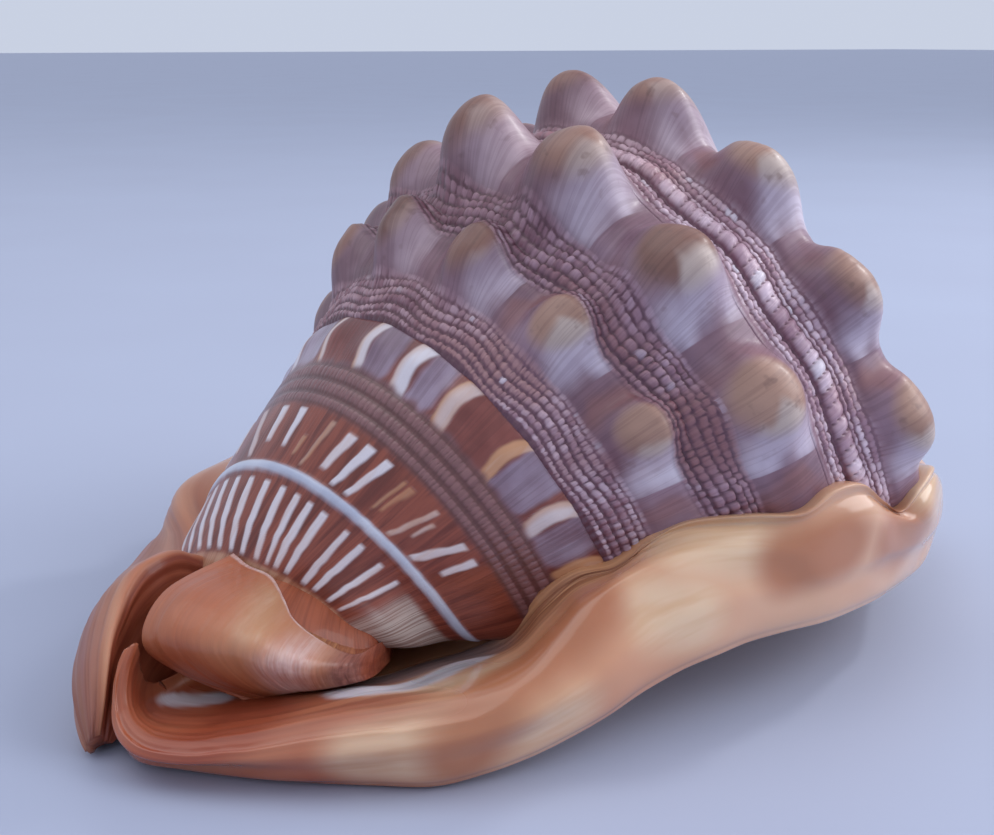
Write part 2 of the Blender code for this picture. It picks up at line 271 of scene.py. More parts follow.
def dress(piece, material):
    piece.data.materials.clear()
    piece.data.materials.append(material)
    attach(piece, "root")
    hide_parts("shell")


def points_of(piece):
    flat = np.empty(len(piece.data.vertices) * 3)
    piece.data.vertices.foreach_get("co", flat)
    return flat.reshape(-1, 3)


def start_sheet(name, columns, rows):
    """A flat grid; returns the piece and where each point is across and along it, from 0 to 1."""
    deselect()
    bpy.ops.mesh.primitive_grid_add(x_subdivisions=columns, y_subdivisions=rows, size=1.0, location=(0, 0, 0))
    piece = bpy.context.object
    piece.name = piece.data.name = name
    flat = points_of(piece)
    return piece, flat[:, 0] + 0.5, flat[:, 1] + 0.5


def shape_sheet(piece, places):
    """Move every point to its place; places are in millimetres from the base's middle."""
    piece.data.vertices.foreach_set("co", (np.asarray(places, dtype=np.float64) * MM).ravel())
    piece.data.update()


def set_uv(piece, across, along):
    corner = np.empty(len(piece.data.loops), dtype=np.int32)
    piece.data.loops.foreach_get("vertex_index", corner)
    piece.data.uv_layers[0].data.foreach_set("uv", np.column_stack([across[corner], along[corner]]).ravel())


def set_masks(piece, **masks):
    """Values that the material reads at every point."""
    for name, values in masks.items():
        layer = piece.data.attributes.new(name, "FLOAT", "POINT")
        values = np.asarray(values, dtype=np.float32) + np.zeros(len(piece.data.vertices), dtype=np.float32)
        layer.data.foreach_set("value", values)


def close_inside(piece, down):
    """Close an open sheet by drawing its rim in to one point on the axis, inside the shell."""
    open_to_edit(piece)
    bpy.ops.mesh.select_all(action="DESELECT")
    bpy.ops.mesh.select_non_manifold(
        extend=False, use_multi_face=False, use_non_contiguous=False, use_verts=False, use_wire=False)
    bpy.ops.mesh.extrude_region_move()
    bpy.ops.mesh.merge(type="CENTER")
    bpy.ops.object.mode_set(mode="OBJECT")
    piece.data.vertices[len(piece.data.vertices) - 1].co = Vector((APEX + MIDDLE - AXIS * down) * MM)
    piece.data.update()
    open_to_edit(piece)
    close_edit()


# Materials
def srgb(red, green, blue):
    """Linear colour from the eight-bit numbers of a paint card."""
    return tuple(
        ((value / 255 + 0.055) / 1.055) ** 2.4 if value > 10 else value / 255 / 12.92
        for value in (red, green, blue)
    )


class Net:
    """The nodes of one material or group; every value handed in may be a number or a socket."""

    def __init__(self, tree):
        self.nodes = tree.nodes
        self.links = tree.links

    def put(self, socket, given):
        if isinstance(given, bpy.types.NodeSocket):
            self.links.new(given, socket)
        elif isinstance(given, tuple):
            socket.default_value = (*srgb(*given), 1.0)
        else:
            socket.default_value = given

    def mix(self, factor, first, second, blend="MIX"):
        """A colour mix; colours are sockets or paint card numbers."""
        node = self.nodes.new("ShaderNodeMix")
        node.data_type = "RGBA"
        node.blend_type = blend
        for number, given in ((0, factor), (6, first), (7, second)):
            self.put(node.inputs[number], given)
        return node.outputs[2]

    def worked(self, operation, *given):
        node = self.nodes.new("ShaderNodeMath")
        node.operation = operation
        for socket, value in zip(node.inputs, (*given, 0.0, 0.0)):
            self.put(socket, value)
        return node.outputs[0]

    def times(self, first, second):
        return self.worked("MULTIPLY", first, second)

    def plus(self, first, second):
        return self.worked("ADD", first, second)

    def mask(self, name):
        node = self.nodes.new("ShaderNodeAttribute")
        node.attribute_name = name
        return node.outputs["Fac"]

    def step(self, value, low, high):
        """0 below low, 1 above high, eased between."""
        node = self.nodes.new("ShaderNodeMapRange")
        node.interpolation_type = "SMOOTHSTEP"
        for number, given in enumerate((value, low, high)):
            self.put(node.inputs[number], given)
        return node.outputs[0]

    def layers(self, colour, *rows):
        """Lay colours on a ground; each row has its mask's name, its shading and the two shades."""
        for name, shading, first, second in rows:
            colour = self.mix(self.mask(name), colour, self.mix(shading, first, second))
        return colour

    def shades(self, value, low, high, first, second):
        """From the first colour to the second as the value goes from low to high."""
        return self.mix(self.step(value, low, high), first, second)

    def noise(self, vector, scale, detail=3.0, rough=0.55):
        node = self.nodes.new("ShaderNodeTexNoise")
        for name, given in (("Vector", vector), ("Scale", scale), ("Detail", detail), ("Roughness", rough)):
            self.put(node.inputs[name], given)
        return node.outputs["Fac"]

    def raised(self, height, distance, strength, before=None):
        node = self.nodes.new("ShaderNodeBump")
        for name, given in (("Strength", strength), ("Distance", distance), ("Height", height)):
            self.put(node.inputs[name], given)
        if before is not None:
            self.put(node.inputs["Normal"], before)
        return node.outputs[0]

    def grouped(self, group_name, place, **values):
        """One of the shared groups; its other inputs are named with underscores for spaces."""
        node = self.nodes.new("ShaderNodeGroup")
        node.node_tree = bpy.data.node_groups[group_name]
        self.put(node.inputs["Place"], place)
        for name, value in values.items():
            self.put(node.inputs[name.replace("_", " ")], value)
        return node.outputs[0]


def new_material(name, roughness, coat=0.0, coat_roughness=0.1):
    """A material; returns it, its nodes, its surface and the UV and Object coordinates."""
    made = bpy.data.materials.new(name)
    made.use_nodes = True
    net = Net(made.node_tree)
    surface = net.nodes["Principled BSDF"].inputs
    surface["Roughness"].default_value = roughness
    surface["Coat Weight"].default_value = coat
    surface["Coat Roughness"].default_value = coat_roughness
    place = net.nodes.new("ShaderNodeTexCoord").outputs
    return made, net, surface, place["UV"], place["Object"]


def new_group(name, inputs, output, kind):
    """A shared node group; returns it, its nodes and the sockets of its input and output."""
    group = bpy.data.node_groups.new(name, "ShaderNodeTree")
    group.interface.new_socket(name="Place", in_out="INPUT", socket_type="NodeSocketVector")
    for label in inputs:
        group.interface.new_socket(name=label, in_out="INPUT", socket_type="NodeSocketFloat")
    group.interface.new_socket(name=output, in_out="OUTPUT", socket_type=kind)
    net = Net(group)
    return net, net.nodes.new("NodeGroupInput").outputs, net.nodes.new("NodeGroupOutput").inputs[output]


def shared_groups():
    """Fine growth lines along a piece's own map, and the grain of old shell; each built once."""
    net, given, result = new_group(
        "growth_lines", ("Lines Across", "Lines Along", "Start"), "Lines", "NodeSocketFloat")
    scale = net.nodes.new("ShaderNodeCombineXYZ")
    net.put(scale.inputs[0], given["Lines Across"])
    net.put(scale.inputs[1], given["Lines Along"])
    place = net.nodes.new("ShaderNodeVectorMath")
    place.operation = "MULTIPLY_ADD"
    for socket, value in zip(place.inputs, (given["Place"], scale.outputs[0], given["Start"])):
        net.put(socket, value)
    net.put(result, net.noise(place.outputs[0], 1.0, 3.0, 0.6))

    net, given, result = new_group("shell_grain", ("Grains", "Depth"), "Normal", "NodeSocketVector")
    specks = net.noise(given["Place"], given["Grains"], 4.0, 0.5)
    net.put(result, net.raised(specks, 0.0002, given["Depth"]))


def ribbed_back_material():
    made, net, surface, coiled, solid = new_material("ribbed_back", 0.42, 0.15, 0.25)
    lines = net.grouped("growth_lines", coiled, Lines_Across=420.0, Lines_Along=7.0, Start=1.3)
    hairs = net.grouped("growth_lines", coiled, Lines_Across=900.0, Lines_Along=12.0, Start=5.1)
    clouds = net.noise(solid, 75.0)
    patches = net.noise(solid, 42.0, 2.0)
    specks = net.noise(solid, 420.0, 2.0)
    tile, knob, tint, bead = (net.mask(name) for name in ("tile", "knob", "tint", "bead"))

    # mauve ground, bluish behind each knob and brown before it; the bluish trail is the shell's own colour plus
    # painted light, paler on the lit side
    colour = net.shades(clouds, 0.32, 0.68, (128, 94, 106), (160, 130, 144))
    bluish = net.shades(clouds, 0.3, 0.7, (214, 202, 220), (236, 228, 240))
    trail = net.step(net.plus(tile, net.worked("MULTIPLY_ADD", clouds, 0.7, -0.35)), 0.05, 1.1)
    trail = net.times(net.times(trail, 0.85), net.worked("MULTIPLY_ADD", knob, -0.5, 1.0))
    colour = net.mix(trail, colour, bluish)
    brown = net.shades(patches, 0.35, 0.65, (122, 70, 66), (150, 98, 90))
    ahead = net.times(net.step(net.times(tile, -1.0), 0.05, 0.95), net.step(patches, 0.34, 0.6))
    colour = net.mix(net.times(ahead, 0.6), colour, brown)

    # tan knob tops with pits
    tan = net.shades(patches, 0.38, 0.62, (134, 95, 82), (176, 138, 120))
    pale = net.step(net.plus(tile, net.times(clouds, 0.8)), 0.78, 1.15)
    tan = net.mix(pale, tan, (194, 174, 164))
    uneven = net.plus(knob, net.times(clouds, 0.5))
    colour = net.mix(net.step(uneven, 0.8, 1.2), colour, tan)
    pits = net.times(net.step(specks, 0.6, 0.72), knob)
    colour = net.mix(net.times(pits, 0.5), colour, (118, 88, 80))

    # beaded cords
    crest = net.shades(tint, -0.6, 0.5, (176, 138, 152), (228, 204, 216))
    crest = net.mix(net.step(patches, 0.48, 0.64), crest, (190, 146, 146))
    crest = net.mix(net.step(tint, 0.66, 0.85), crest, (228, 216, 226))
    beaded = net.mix(net.step(bead, 0.25, 0.9), (126, 86, 100), crest)
    beaded = net.mix(net.step(bead, 0.12, 0.0), beaded, (112, 74, 88))
    beaded = net.mix(net.times(net.mask("dusk"), 0.75), beaded, (186, 160, 172), "MULTIPLY")
    colour = net.mix(net.mask("cords"), colour, beaded)

    # Painted shade: darker and browner from the top of the coil round to its left side, away from the light.
    colour = net.mix(net.times(net.mask("elder"), 0.62), colour, (206, 172, 166), "MULTIPLY")
    darker = net.mix(0.8, colour, (150, 118, 130), "MULTIPLY")
    colour = net.mix(net.times(net.step(lines, 0.54, 0.4), 0.26), colour, darker)
    net.put(surface["Base Color"], colour)
    rough = net.nodes.new("ShaderNodeMapRange")
    for number, given in ((0, clouds), (3, 0.36), (4, 0.52)):
        net.put(rough.inputs[number], given)
    net.put(surface["Roughness"], rough.outputs[0])
    grain = net.grouped("shell_grain", solid, Grains=900.0, Depth=0.14)
    fine = net.raised(hairs, 0.0003, 0.1, grain)
    net.put(surface["Normal"], net.raised(lines, 0.0004, 0.1, fine))
    return made


def striped_front_material():
    made, net, surface, coiled, solid = new_material("striped_front", 0.34, 0.3, 0.18)
    lines = net.grouped("growth_lines", coiled, Lines_Across=260.0, Lines_Along=5.0, Start=2.6)
    broad = net.grouped("growth_lines", coiled, Lines_Across=60.0, Lines_Along=9.0, Start=7.2)
    clouds = net.noise(solid, 90.0)
    ground = net.step(clouds, 0.35, 0.65)
    colour = net.layers(
        net.mix(ground, (112, 70, 74), (138, 96, 100)),
        ("cords", net.step(net.mask("bead"), 0.1, 0.85), (108, 64, 62), (142, 98, 98)),
        ("row", net.step(clouds, 0.4, 0.6), (118, 50, 42), (144, 76, 66)),
        ("lilac", net.step(clouds, 0.3, 0.7), (134, 106, 122), (174, 154, 172)),
        ("red", net.step(broad, 0.36, 0.62), (116, 48, 34), (150, 74, 54)),
        ("cream_end", net.step(lines, 0.42, 0.56), (176, 148, 136), (206, 190, 180)),
    )
    darker = net.mix(0.7, colour, (150, 122, 122), "MULTIPLY")
    colour = net.mix(net.times(net.step(lines, 0.55, 0.42), 0.34), colour, darker)
    warmth = net.plus(net.mask("warm"), net.times(net.step(broad, 0.45, 0.65), 0.22))
    colour = net.layers(
        colour,
        ("white", warmth, (226, 218, 224), (206, 150, 110)),
        ("cord", ground, (186, 192, 212), (212, 216, 230)),
        ("under", net.step(broad, 0.36, 0.64), (178, 116, 86), (204, 154, 124)),
    )
    net.put(surface["Base Color"], colour)
    grain = net.grouped("shell_grain", solid, Grains=900.0, Depth=0.1)
    net.put(surface["Normal"], net.raised(lines, 0.0005, 0.2, grain))
    return made


# The coiled back
def knobbed_sheet(name, first_down, last_down, columns, rows, centre, material):
    """One sheet of the whorl's back, with its bands, beaded cords and knobs."""
    piece, across, along = start_sheet(name, columns, rows)
    turn = OPEN_FROM + (OPEN_TO - OPEN_FROM) * across
    down = first_down + (last_down - first_down) * along
    lift, top, tile, pattern = knob_map(turn, down)
    in_cords = np.ones_like(down)
    for middle, half, height in BANDS:
        lift = lift + height * plateau(pattern, middle, half, 0.7)
        in_cords = in_cords - plateau(pattern, middle, half + 0.4, 0.45)
    in_cords = np.clip(in_cords, 0, 1) * ease(24, 37, pattern)
    cords, bead, tint = cord_map(turn, pattern)
    phase = riblet_phase(turn, pattern)
    riblets = np.abs(np.sin(phase * math.pi)) ** 0.6
    lift = lift + cords * in_cords + (0.05 + 0.3 * in_cords) * riblets
    dusk = plateau(pattern, 63.2, 4.4, 0.8) + 0.35 * plateau(pattern, 76.4, 3.6, 0.8)
    lift = lift - 1.2 * ease(first_down + 1.2, first_down, down) * (first_down > 30)
    lift = lift - 0.8 * ease(last_down - 0.5, last_down, down)
    shape_sheet(piece, coil_place(turn, down, lift - tucked(turn), 0.1))
    set_uv(piece, phase / MAP_RIBLETS, pattern / MAP_DOWN)
    # Painted shade over the top and left of the coil, set by turn angle.
    elder = ease(math.radians(48), math.radians(88), turn)
    set_masks(piece, knob=top, tile=tile, bead=bead, tint=tint, cords=in_cords, dusk=dusk, elder=elder)
    close_inside(piece, centre)
    dress(piece, material)


def knobbed_back():
    """The back from the shoulder to the row of cream crescents, in two sheets that meet beside a cord."""
    material = ribbed_back_material()
    knobbed_sheet("shoulder_back", 24.0, 49.7, 700, 136, 40.0, material)
    knobbed_sheet("crown_back", 48.3, 80.4, 700, 140, 66.0, material)


def spire_whorls():
    """The earlier whorls, one ribbon from the tip out to the body whorl, each tucked under the next."""
    columns, rows = 1300, 28
    piece, across, along = start_sheet("spire_whorls", columns, rows)
    turn = OPEN_TO - 2 * math.pi * SPIRE_WHORLS * (1 - across)
    place = even_places(SPIRE_PROFILE, rows + 1)[0]
    curve = spline(SPIRE_PROFILE, place)[np.rint(along * rows).astype(int)]
    down, radius = curve[:, 0], curve[:, 1]
    row, reach_along, reach_around, shift = KNOBS["shoulder"]
    column = (turn - FIRST_COLUMN - math.radians(shift)) / COLUMN
    offset = (column - np.round(column)) * COLUMN * KNOB_RADIUS
    reach = np.sqrt(((down - row) / reach_along) ** 2 + (offset / reach_around) ** 2)
    dome = (1 - np.clip(reach, 0, 1) ** 2) ** 2.2
    under_body = ease(OPEN_FROM - 0.2, OPEN_FROM + 0.1, turn)
    lift = 4.6 * dome - under_body * (0.8 + 5.0 * ease(26, 31, down))
    lift = lift + 0.35 * np.sin(down * 4.2) * ease(22.6, 24.5, down)
    grown = size(turn)
    places = APEX + MIDDLE - AXIS * ((down - 0.3 * lift) * grown)[:, None]
    places = places + outward(turn) * ((radius + 0.8 * lift) * grown)[:, None]
    buried = HIDDEN_FLOOR + 7.0 * ease(OPEN_FROM + 0.2, OPEN_FROM - 0.2, turn)
    places[:, 2] = above(buried, places[:, 2])
    shape_sheet(piece, places)
    set_uv(piece, column / 16.0, down / MAP_DOWN)
    # The spire takes half of the painted side shade.
    set_masks(piece, knob=dome, elder=0.5)
    close_inside(piece, 30.0)
    dress(piece, ribbed_back_material())


def spire_tip():
    """The rounded first whorl, which closes the middle of the spire."""
    deselect()
    bpy.ops.mesh.primitive_uv_sphere_add(segments=48, ring_count=24, radius=1.0, location=(0, 0, 0))
    piece = bpy.context.object
    piece.name = piece.data.name = "spire_tip"
    wide, deep, tall = points_of(piece).T[:, :, None] * np.array(TIP_RADII)[:, None, None]
    shape_sheet(piece, APEX + MIDDLE - TIP_DOWN * AXIS + wide * RIGHT + deep * BACK + tall * AXIS)
    # The tip takes half of the painted side shade.
    set_masks(piece, knob=0.3, elder=0.5)
    open_to_edit(piece)
    close_edit()
    dress(piece, ribbed_back_material())


# Marks on the front of the whorl, read round the coil in degrees.
# Crescents of the cream row: middle, half width, warmth
CRESCENTS = (
    (10.2, 1.6, 0.9), (23.7, 2, 0.2), (40.5, 1.9, 0.75), (57.3, 3, 0.45), (72, 2.6, 0), (87.2, 2.3, 0.15),
    (104, 1.2, 0.4), (120, 2.2, 0), (137, 2.4, 0.3), (153, 2.2, 0), (170, 2.4, 0.5), (187, 2.2, 0.2),
)
# Lilac patches between the crescents: middle, half width
LILACS = (
    (17, 4.6), (33, 5.2), (65.5, 3.6), (80.5, 4.4), (112, 5), (129, 4.6), (145, 4.6), (162, 4.6),
    (179, 4.6), (196, 4.6),
)
# Dashes above the white cord: top, drift to the bottom, half width, first and last distance down, warmth
DASHES = (
    (21.5, 1, 1.7, 94, 98.6, 0), (26.3, 4.6, 1.8, 93.8, 100.3, 0.1), (36, 0.5, 0.8, 95.2, 98.4, 0.5),
    (38.4, 3.2, 1.3, 93.8, 100.4, 0.45), (47.5, 1, 0.9, 94.2, 99, 0.95), (50.5, 1, 1, 94.2, 99.4, 0.95),
    (57.6, 2.8, 1.9, 93.8, 100.3, 0), (64.6, 1.4, 1.8, 93.8, 100.4, 0), (71.6, 1, 1.8, 94, 99.4, 0),
    (79.6, 0.5, 1.2, 93.8, 100.4, 0.8), (86, 0, 1.2, 96.8, 99.6, 0.9), (94, -1.6, 1.9, 93.5, 99, 0),
    (104, -2, 2.1, 93.5, 98.7, 0), (117.5, -10, 2.2, 93.3, 100.8, 0.35), (128, -4, 1.7, 93.5, 99, 0),
    (137, -4, 1.7, 93.5, 99.5, 0.1), (149, -3, 1.2, 94, 99, 0.8), (158, -3, 1.7, 93.5, 99, 0),
    (166, -3, 1.7, 93.5, 99.5, 0), (180, -3, 1.6, 93.5, 99, 0.2), (189, -3, 1.6, 93.5, 99.5, 0),
)
# Bars below the white cord: top, drift to the bottom, half width
BARS = (
    (26, 1, 1.2), (34, -1.5, 1.4), (43.5, -3, 1.6), (50.5, -4.5, 1.6), (61, -6, 1.9), (67.5, -6.5, 1.8),
    (73.5, -8, 1.5), (80.5, -9, 1.8), (89, -9.5, 1.9), (98, -11.5, 2), (107, -13, 2), (115.5, -14, 2),
    (124, -15, 2), (132.5, -15, 2), (141, -15, 2), (150, -14, 2), (159, -14, 2), (168, -13, 2),
    (177, -13, 2), (186, -12, 2), (195, -12, 2),
)
FRONT_FIRST, FRONT_LAST = 79.0, 117.5            # distances down of the striped front's edges
# Where the striped front turns under: turn in degrees and distance down
FRONT_EDGE_TURN = (-20, -3, 5, 15, 26, 40, 54, 70, 120, 210)
FRONT_EDGE_DOWN = (113.5, 113.5, 113.5, 113.1, 112.5, 112.2, 112.4, 112.8, 113.0, 113.0)


def mark(angle, middle, half, soft=0.35):
    return ease(half + soft, half - soft, np.abs(angle - middle))


def marked_front():
    """The front of the whorl: cream crescents, fine cords, dashes, white cord and barred foot."""
    piece, across, along = start_sheet("marked_front", 700, 134)
    turn = OPEN_FROM + (OPEN_TO - OPEN_FROM) * across
    down = FRONT_FIRST + (FRONT_LAST - FRONT_FIRST) * along
    angle = np.degrees(turn)
    sway = 0.5 * wave(angle * 0.35, 31) + 0.35 * wave(down * 0.9, 33)
    edge = np.interp(angle, FRONT_EDGE_TURN, FRONT_EDGE_DOWN)

    row = plateau(down + 0.3 * wave(angle * 0.4, 6), 83.2, 3.4, 0.35)
    white, warm, bump, lilac = (np.zeros_like(down) for _ in range(4))

    def lay(here, warmth, strength=1.0):
        warm[:] = np.where(here > white, warmth, warm)
        white[:] = np.maximum(white, here * strength)

    for middle, half, warmth in CRESCENTS:
        centre = middle - 1.6 * ((down - 83.4) / 3.4) ** 2 + 0.5
        lay(mark(angle + sway, centre, 0.86 * half, 0.5) * row, warmth + 0.5 * ease(0, half, angle - centre))
        swell = np.exp(-((angle - middle + 0.5) / 4.5) ** 2) * np.exp(-((down - 83.0) / 2.6) ** 2)
        bump = most(bump, swell)
    for middle, half in LILACS:
        lilac = most(lilac, mark(angle + 2 * sway, middle, half, 1.2) * row)

    for top, drift, half, first, last, warmth in DASHES:
        share = np.clip((down - first) / (last - first), 0, 1)
        here = mark(angle + sway, top + drift * share, 0.88 * half * (1 - 0.35 * share), 0.45)
        here = here * ease(first - 0.2, first + 0.4, down) * ease(last + 0.2, last - 0.4, down)
        lay(here, warmth, 1 - 0.45 * warmth)

    foot = ease(103.2, 103.7, down) * ease(edge - 0.3, edge - 0.9, down)
    for top, drift, half in BARS:
        share = np.clip((down - 103.0) / 9.4, 0, 1)
        centre = top + drift * (0.35 * share + 0.65 * share ** 2)
        narrow = 1 - 0.25 * np.abs(2 * share - 0.9) ** 2
        lay(mark(angle + 0.6 * sway, centre, 0.92 * half * narrow, 0.45) * foot, 0.0)
    cream_end = ease(26, 12, angle + 3 * sway) * ease(103.0, 104.2, down)
    cord_middle = 101.0 + 1.1 * np.clip(angle / 110, -0.1, 1.3)
    cord = plateau(down, cord_middle + 0.12 * sway, 0.62, 0.16)
    under = ease(edge - 0.5, edge + 0.2, down)

    cords, bead, _ = cord_map(turn, down)
    fine = plateau(down, 90.0, 3.0, 0.3)
    in_cords = np.clip(fine * ease(140, 80, angle) + 0.35 * fine, 0, 1)
    lift = cords * in_cords + 0.9 * bump + 0.5 * plateau(down, cord_middle, 0.62, 0.3)
    lift = lift + 0.16 * white * ease(92, 93, down)
    lift = lift + 3.4 * ease(103, 111, down) * ease(FRONT_LAST, 114, down) * ease(48, 14, angle)
    phase = riblet_phase(turn, down)
    shape_sheet(piece, coil_place(turn, down, lift - 0.9 * ease(80.3, 79.2, down) - tucked(turn)))
    set_uv(piece, phase / MAP_RIBLETS, down / MAP_DOWN)
    set_masks(
        piece, bead=bead, cords=in_cords, row=row, lilac=lilac, white=white, warm=warm, cord=cord,
        red=ease(92.4, 93.4, down), cream_end=cream_end, under=under,
    )
    close_inside(piece, 88.0)
    dress(piece, striped_front_material())


# Glazed rim, lip and scroll
# Each station runs round the section: body edge, hollow, crest, outermost, underside (x, y, z)
SHIELD = (
    ((-119, -5, 5), (-126.2, -10.2, 6.4), (-128.4, -13.5, 13.7), (-129.8, -12.5, 9), (-128, -10, 2)),
    ((-119, -7, 4.4), (-127.2, -12.2, 5.2), (-130.2, -14.8, 11), (-131.6, -14, 6), (-130.5, -12, 1.5)),
    ((-118.5, -8.5, 4.2), (-127.4, -14.8, 4.8), (-131, -17, 7), (-132.3, -17, 4), (-130.5, -15.5, 1)),
    ((-117.5, -9.5, 4), (-126.2, -17.2, 4.6), (-130, -22, 5.5), (-131.5, -21.5, 3), (-129.5, -19, 0.5)),
    ((-116, -10.5, 4), (-122.8, -20.2, 4.8), (-126.5, -27, 5.8), (-127.8, -26, 2.8), (-125.5, -22.5, 0.3)),
    ((-114, -12, 4), (-119.3, -22.2, 5.3), (-121.5, -30.5, 6.8), (-122.3, -31, 3), (-119.5, -27, 0)),
    ((-111, -14, 4.2), (-114.8, -24.8, 6), (-115.5, -33.3, 8), (-115.8, -36, 3.5), (-113.5, -31.5, 0)),
    ((-107, -16, 4.2), (-109.5, -26.5, 6.8), (-109, -36.3, 9.2), (-108.5, -41, 4), (-106.5, -36, 0)),
    ((-103, -18, 4), (-104, -26.5, 7), (-103.5, -39, 10.3), (-102.5, -44.8, 4.8), (-100.5, -39.5, 0)),
    ((-96, -17, 3), (-98.5, -27.5, 6.8), (-98.2, -41.6, 11.2), (-96.5, -46.6, 5.5), (-94.5, -41, 0.8)),
    ((-90, -17, 3.5), (-92, -27, 7.2), (-93.8, -43.4, 12.6), (-91, -47.5, 6.5), (-89, -42, 2)),
    ((-81.5, -22, 7), (-84, -30, 9.6), (-89, -43.8, 14.3), (-85.5, -47.8, 8), (-83.5, -42.5, 3.5)),
    ((-78.5, -28.5, 15.5), (-80.5, -33, 15), (-84.5, -43.8, 17), (-80, -47.9, 10), (-78, -42.5, 5)),
    ((-75, -31.5, 19.3), (-76.5, -34.5, 18.8), (-80.5, -43.4, 19.8), (-74.5, -47.8, 12.5), (-72.5, -42.5, 7)),
    ((-70.7, -33.8, 20.6), (-72, -37, 20.8), (-76, -43.4, 21.8), (-68.5, -47.6, 14.5), (-66.5, -42.5, 8.5)),
    ((-66.6, -36.4, 24.3), (-68, -38.6, 23.6), (-70.5, -43.8, 23.4), (-62.5, -47.6, 16), (-61, -42.5, 9.2)),
    ((-62.4, -38.8, 26.6), (-63.2, -40.6, 25.8), (-64.5, -44.6, 24.3), (-57, -47.8, 17), (-56, -42, 9.6)),
    ((-56, -42.8, 27.6), (-56.3, -44.8, 26.6), (-57, -46.8, 24.3), (-50.5, -48, 17), (-50, -42, 9.8)),
    ((-50.3, -45.4, 27.8), (-50.3, -47.8, 26.8), (-50.5, -48.8, 23.5), (-44, -48.4, 17), (-43.5, -42, 9.8)),
    ((-45.5, -45.4, 30.2), (-44.5, -48.2, 28.6), (-43.5, -49.4, 25), (-38, -47.6, 17), (-37.5, -41, 9.8)),
    ((-40.5, -45.4, 30.2), (-39.6, -48, 28.8), (-38, -49.2, 25), (-32, -46, 17), (-32, -39.5, 9.6)),
    ((-36, -45, 27), (-35, -47.2, 26.2), (-32.8, -47.8, 23.6), (-27, -44.2, 16.5), (-27.5, -37.5, 9.3)),
    ((-31.8, -44.4, 24.6), (-30.6, -46.2, 24.2), (-27.8, -46.8, 22.8), (-22, -42, 16), (-23, -35.5, 9)),
    ((-28.6, -44, 27), (-26.9, -46, 26.4), (-24.6, -46.2, 24), (-17.8, -40.2, 17), (-18.5, -33.5, 9)),
    ((-23.5, -41.6, 28.6), (-22, -43.4, 27.6), (-20, -42.8, 25.6), (-12.6, -36.2, 17.6), (-14, -30, 8.6)),
    ((-19, -36.5, 27), (-17, -38.2, 26.2), (-14.2, -37.2, 24.2), (-7.6, -30.8, 16.8), (-9.5, -25.5, 8.2)),
    ((-17, -30, 25), (-12.5, -31, 24.6), (-7.6, -29.8, 21.6), (-1.8, -24.2, 15), (-4, -21, 8)),
    ((-18, -21, 19), (-9, -21.5, 19), (1.5, -20, 18.5), (4.5, -16.5, 13), (1, -15.5, 7.5)),
    ((-17, -13, 17), (-6, -13.5, 17), (6, -12, 18.5), (9.3, -8, 12.5), (5, -8, 7)),
    ((-16, -4, 15), (-4, -4, 16), (9, -2, 18.5), (11.6, 2, 12), (7, 1, 6)),
    ((-16, 5, 14), (-4, 6, 16), (10, 9, 18), (12.4, 13, 11), (8, 11, 4.5)),
)
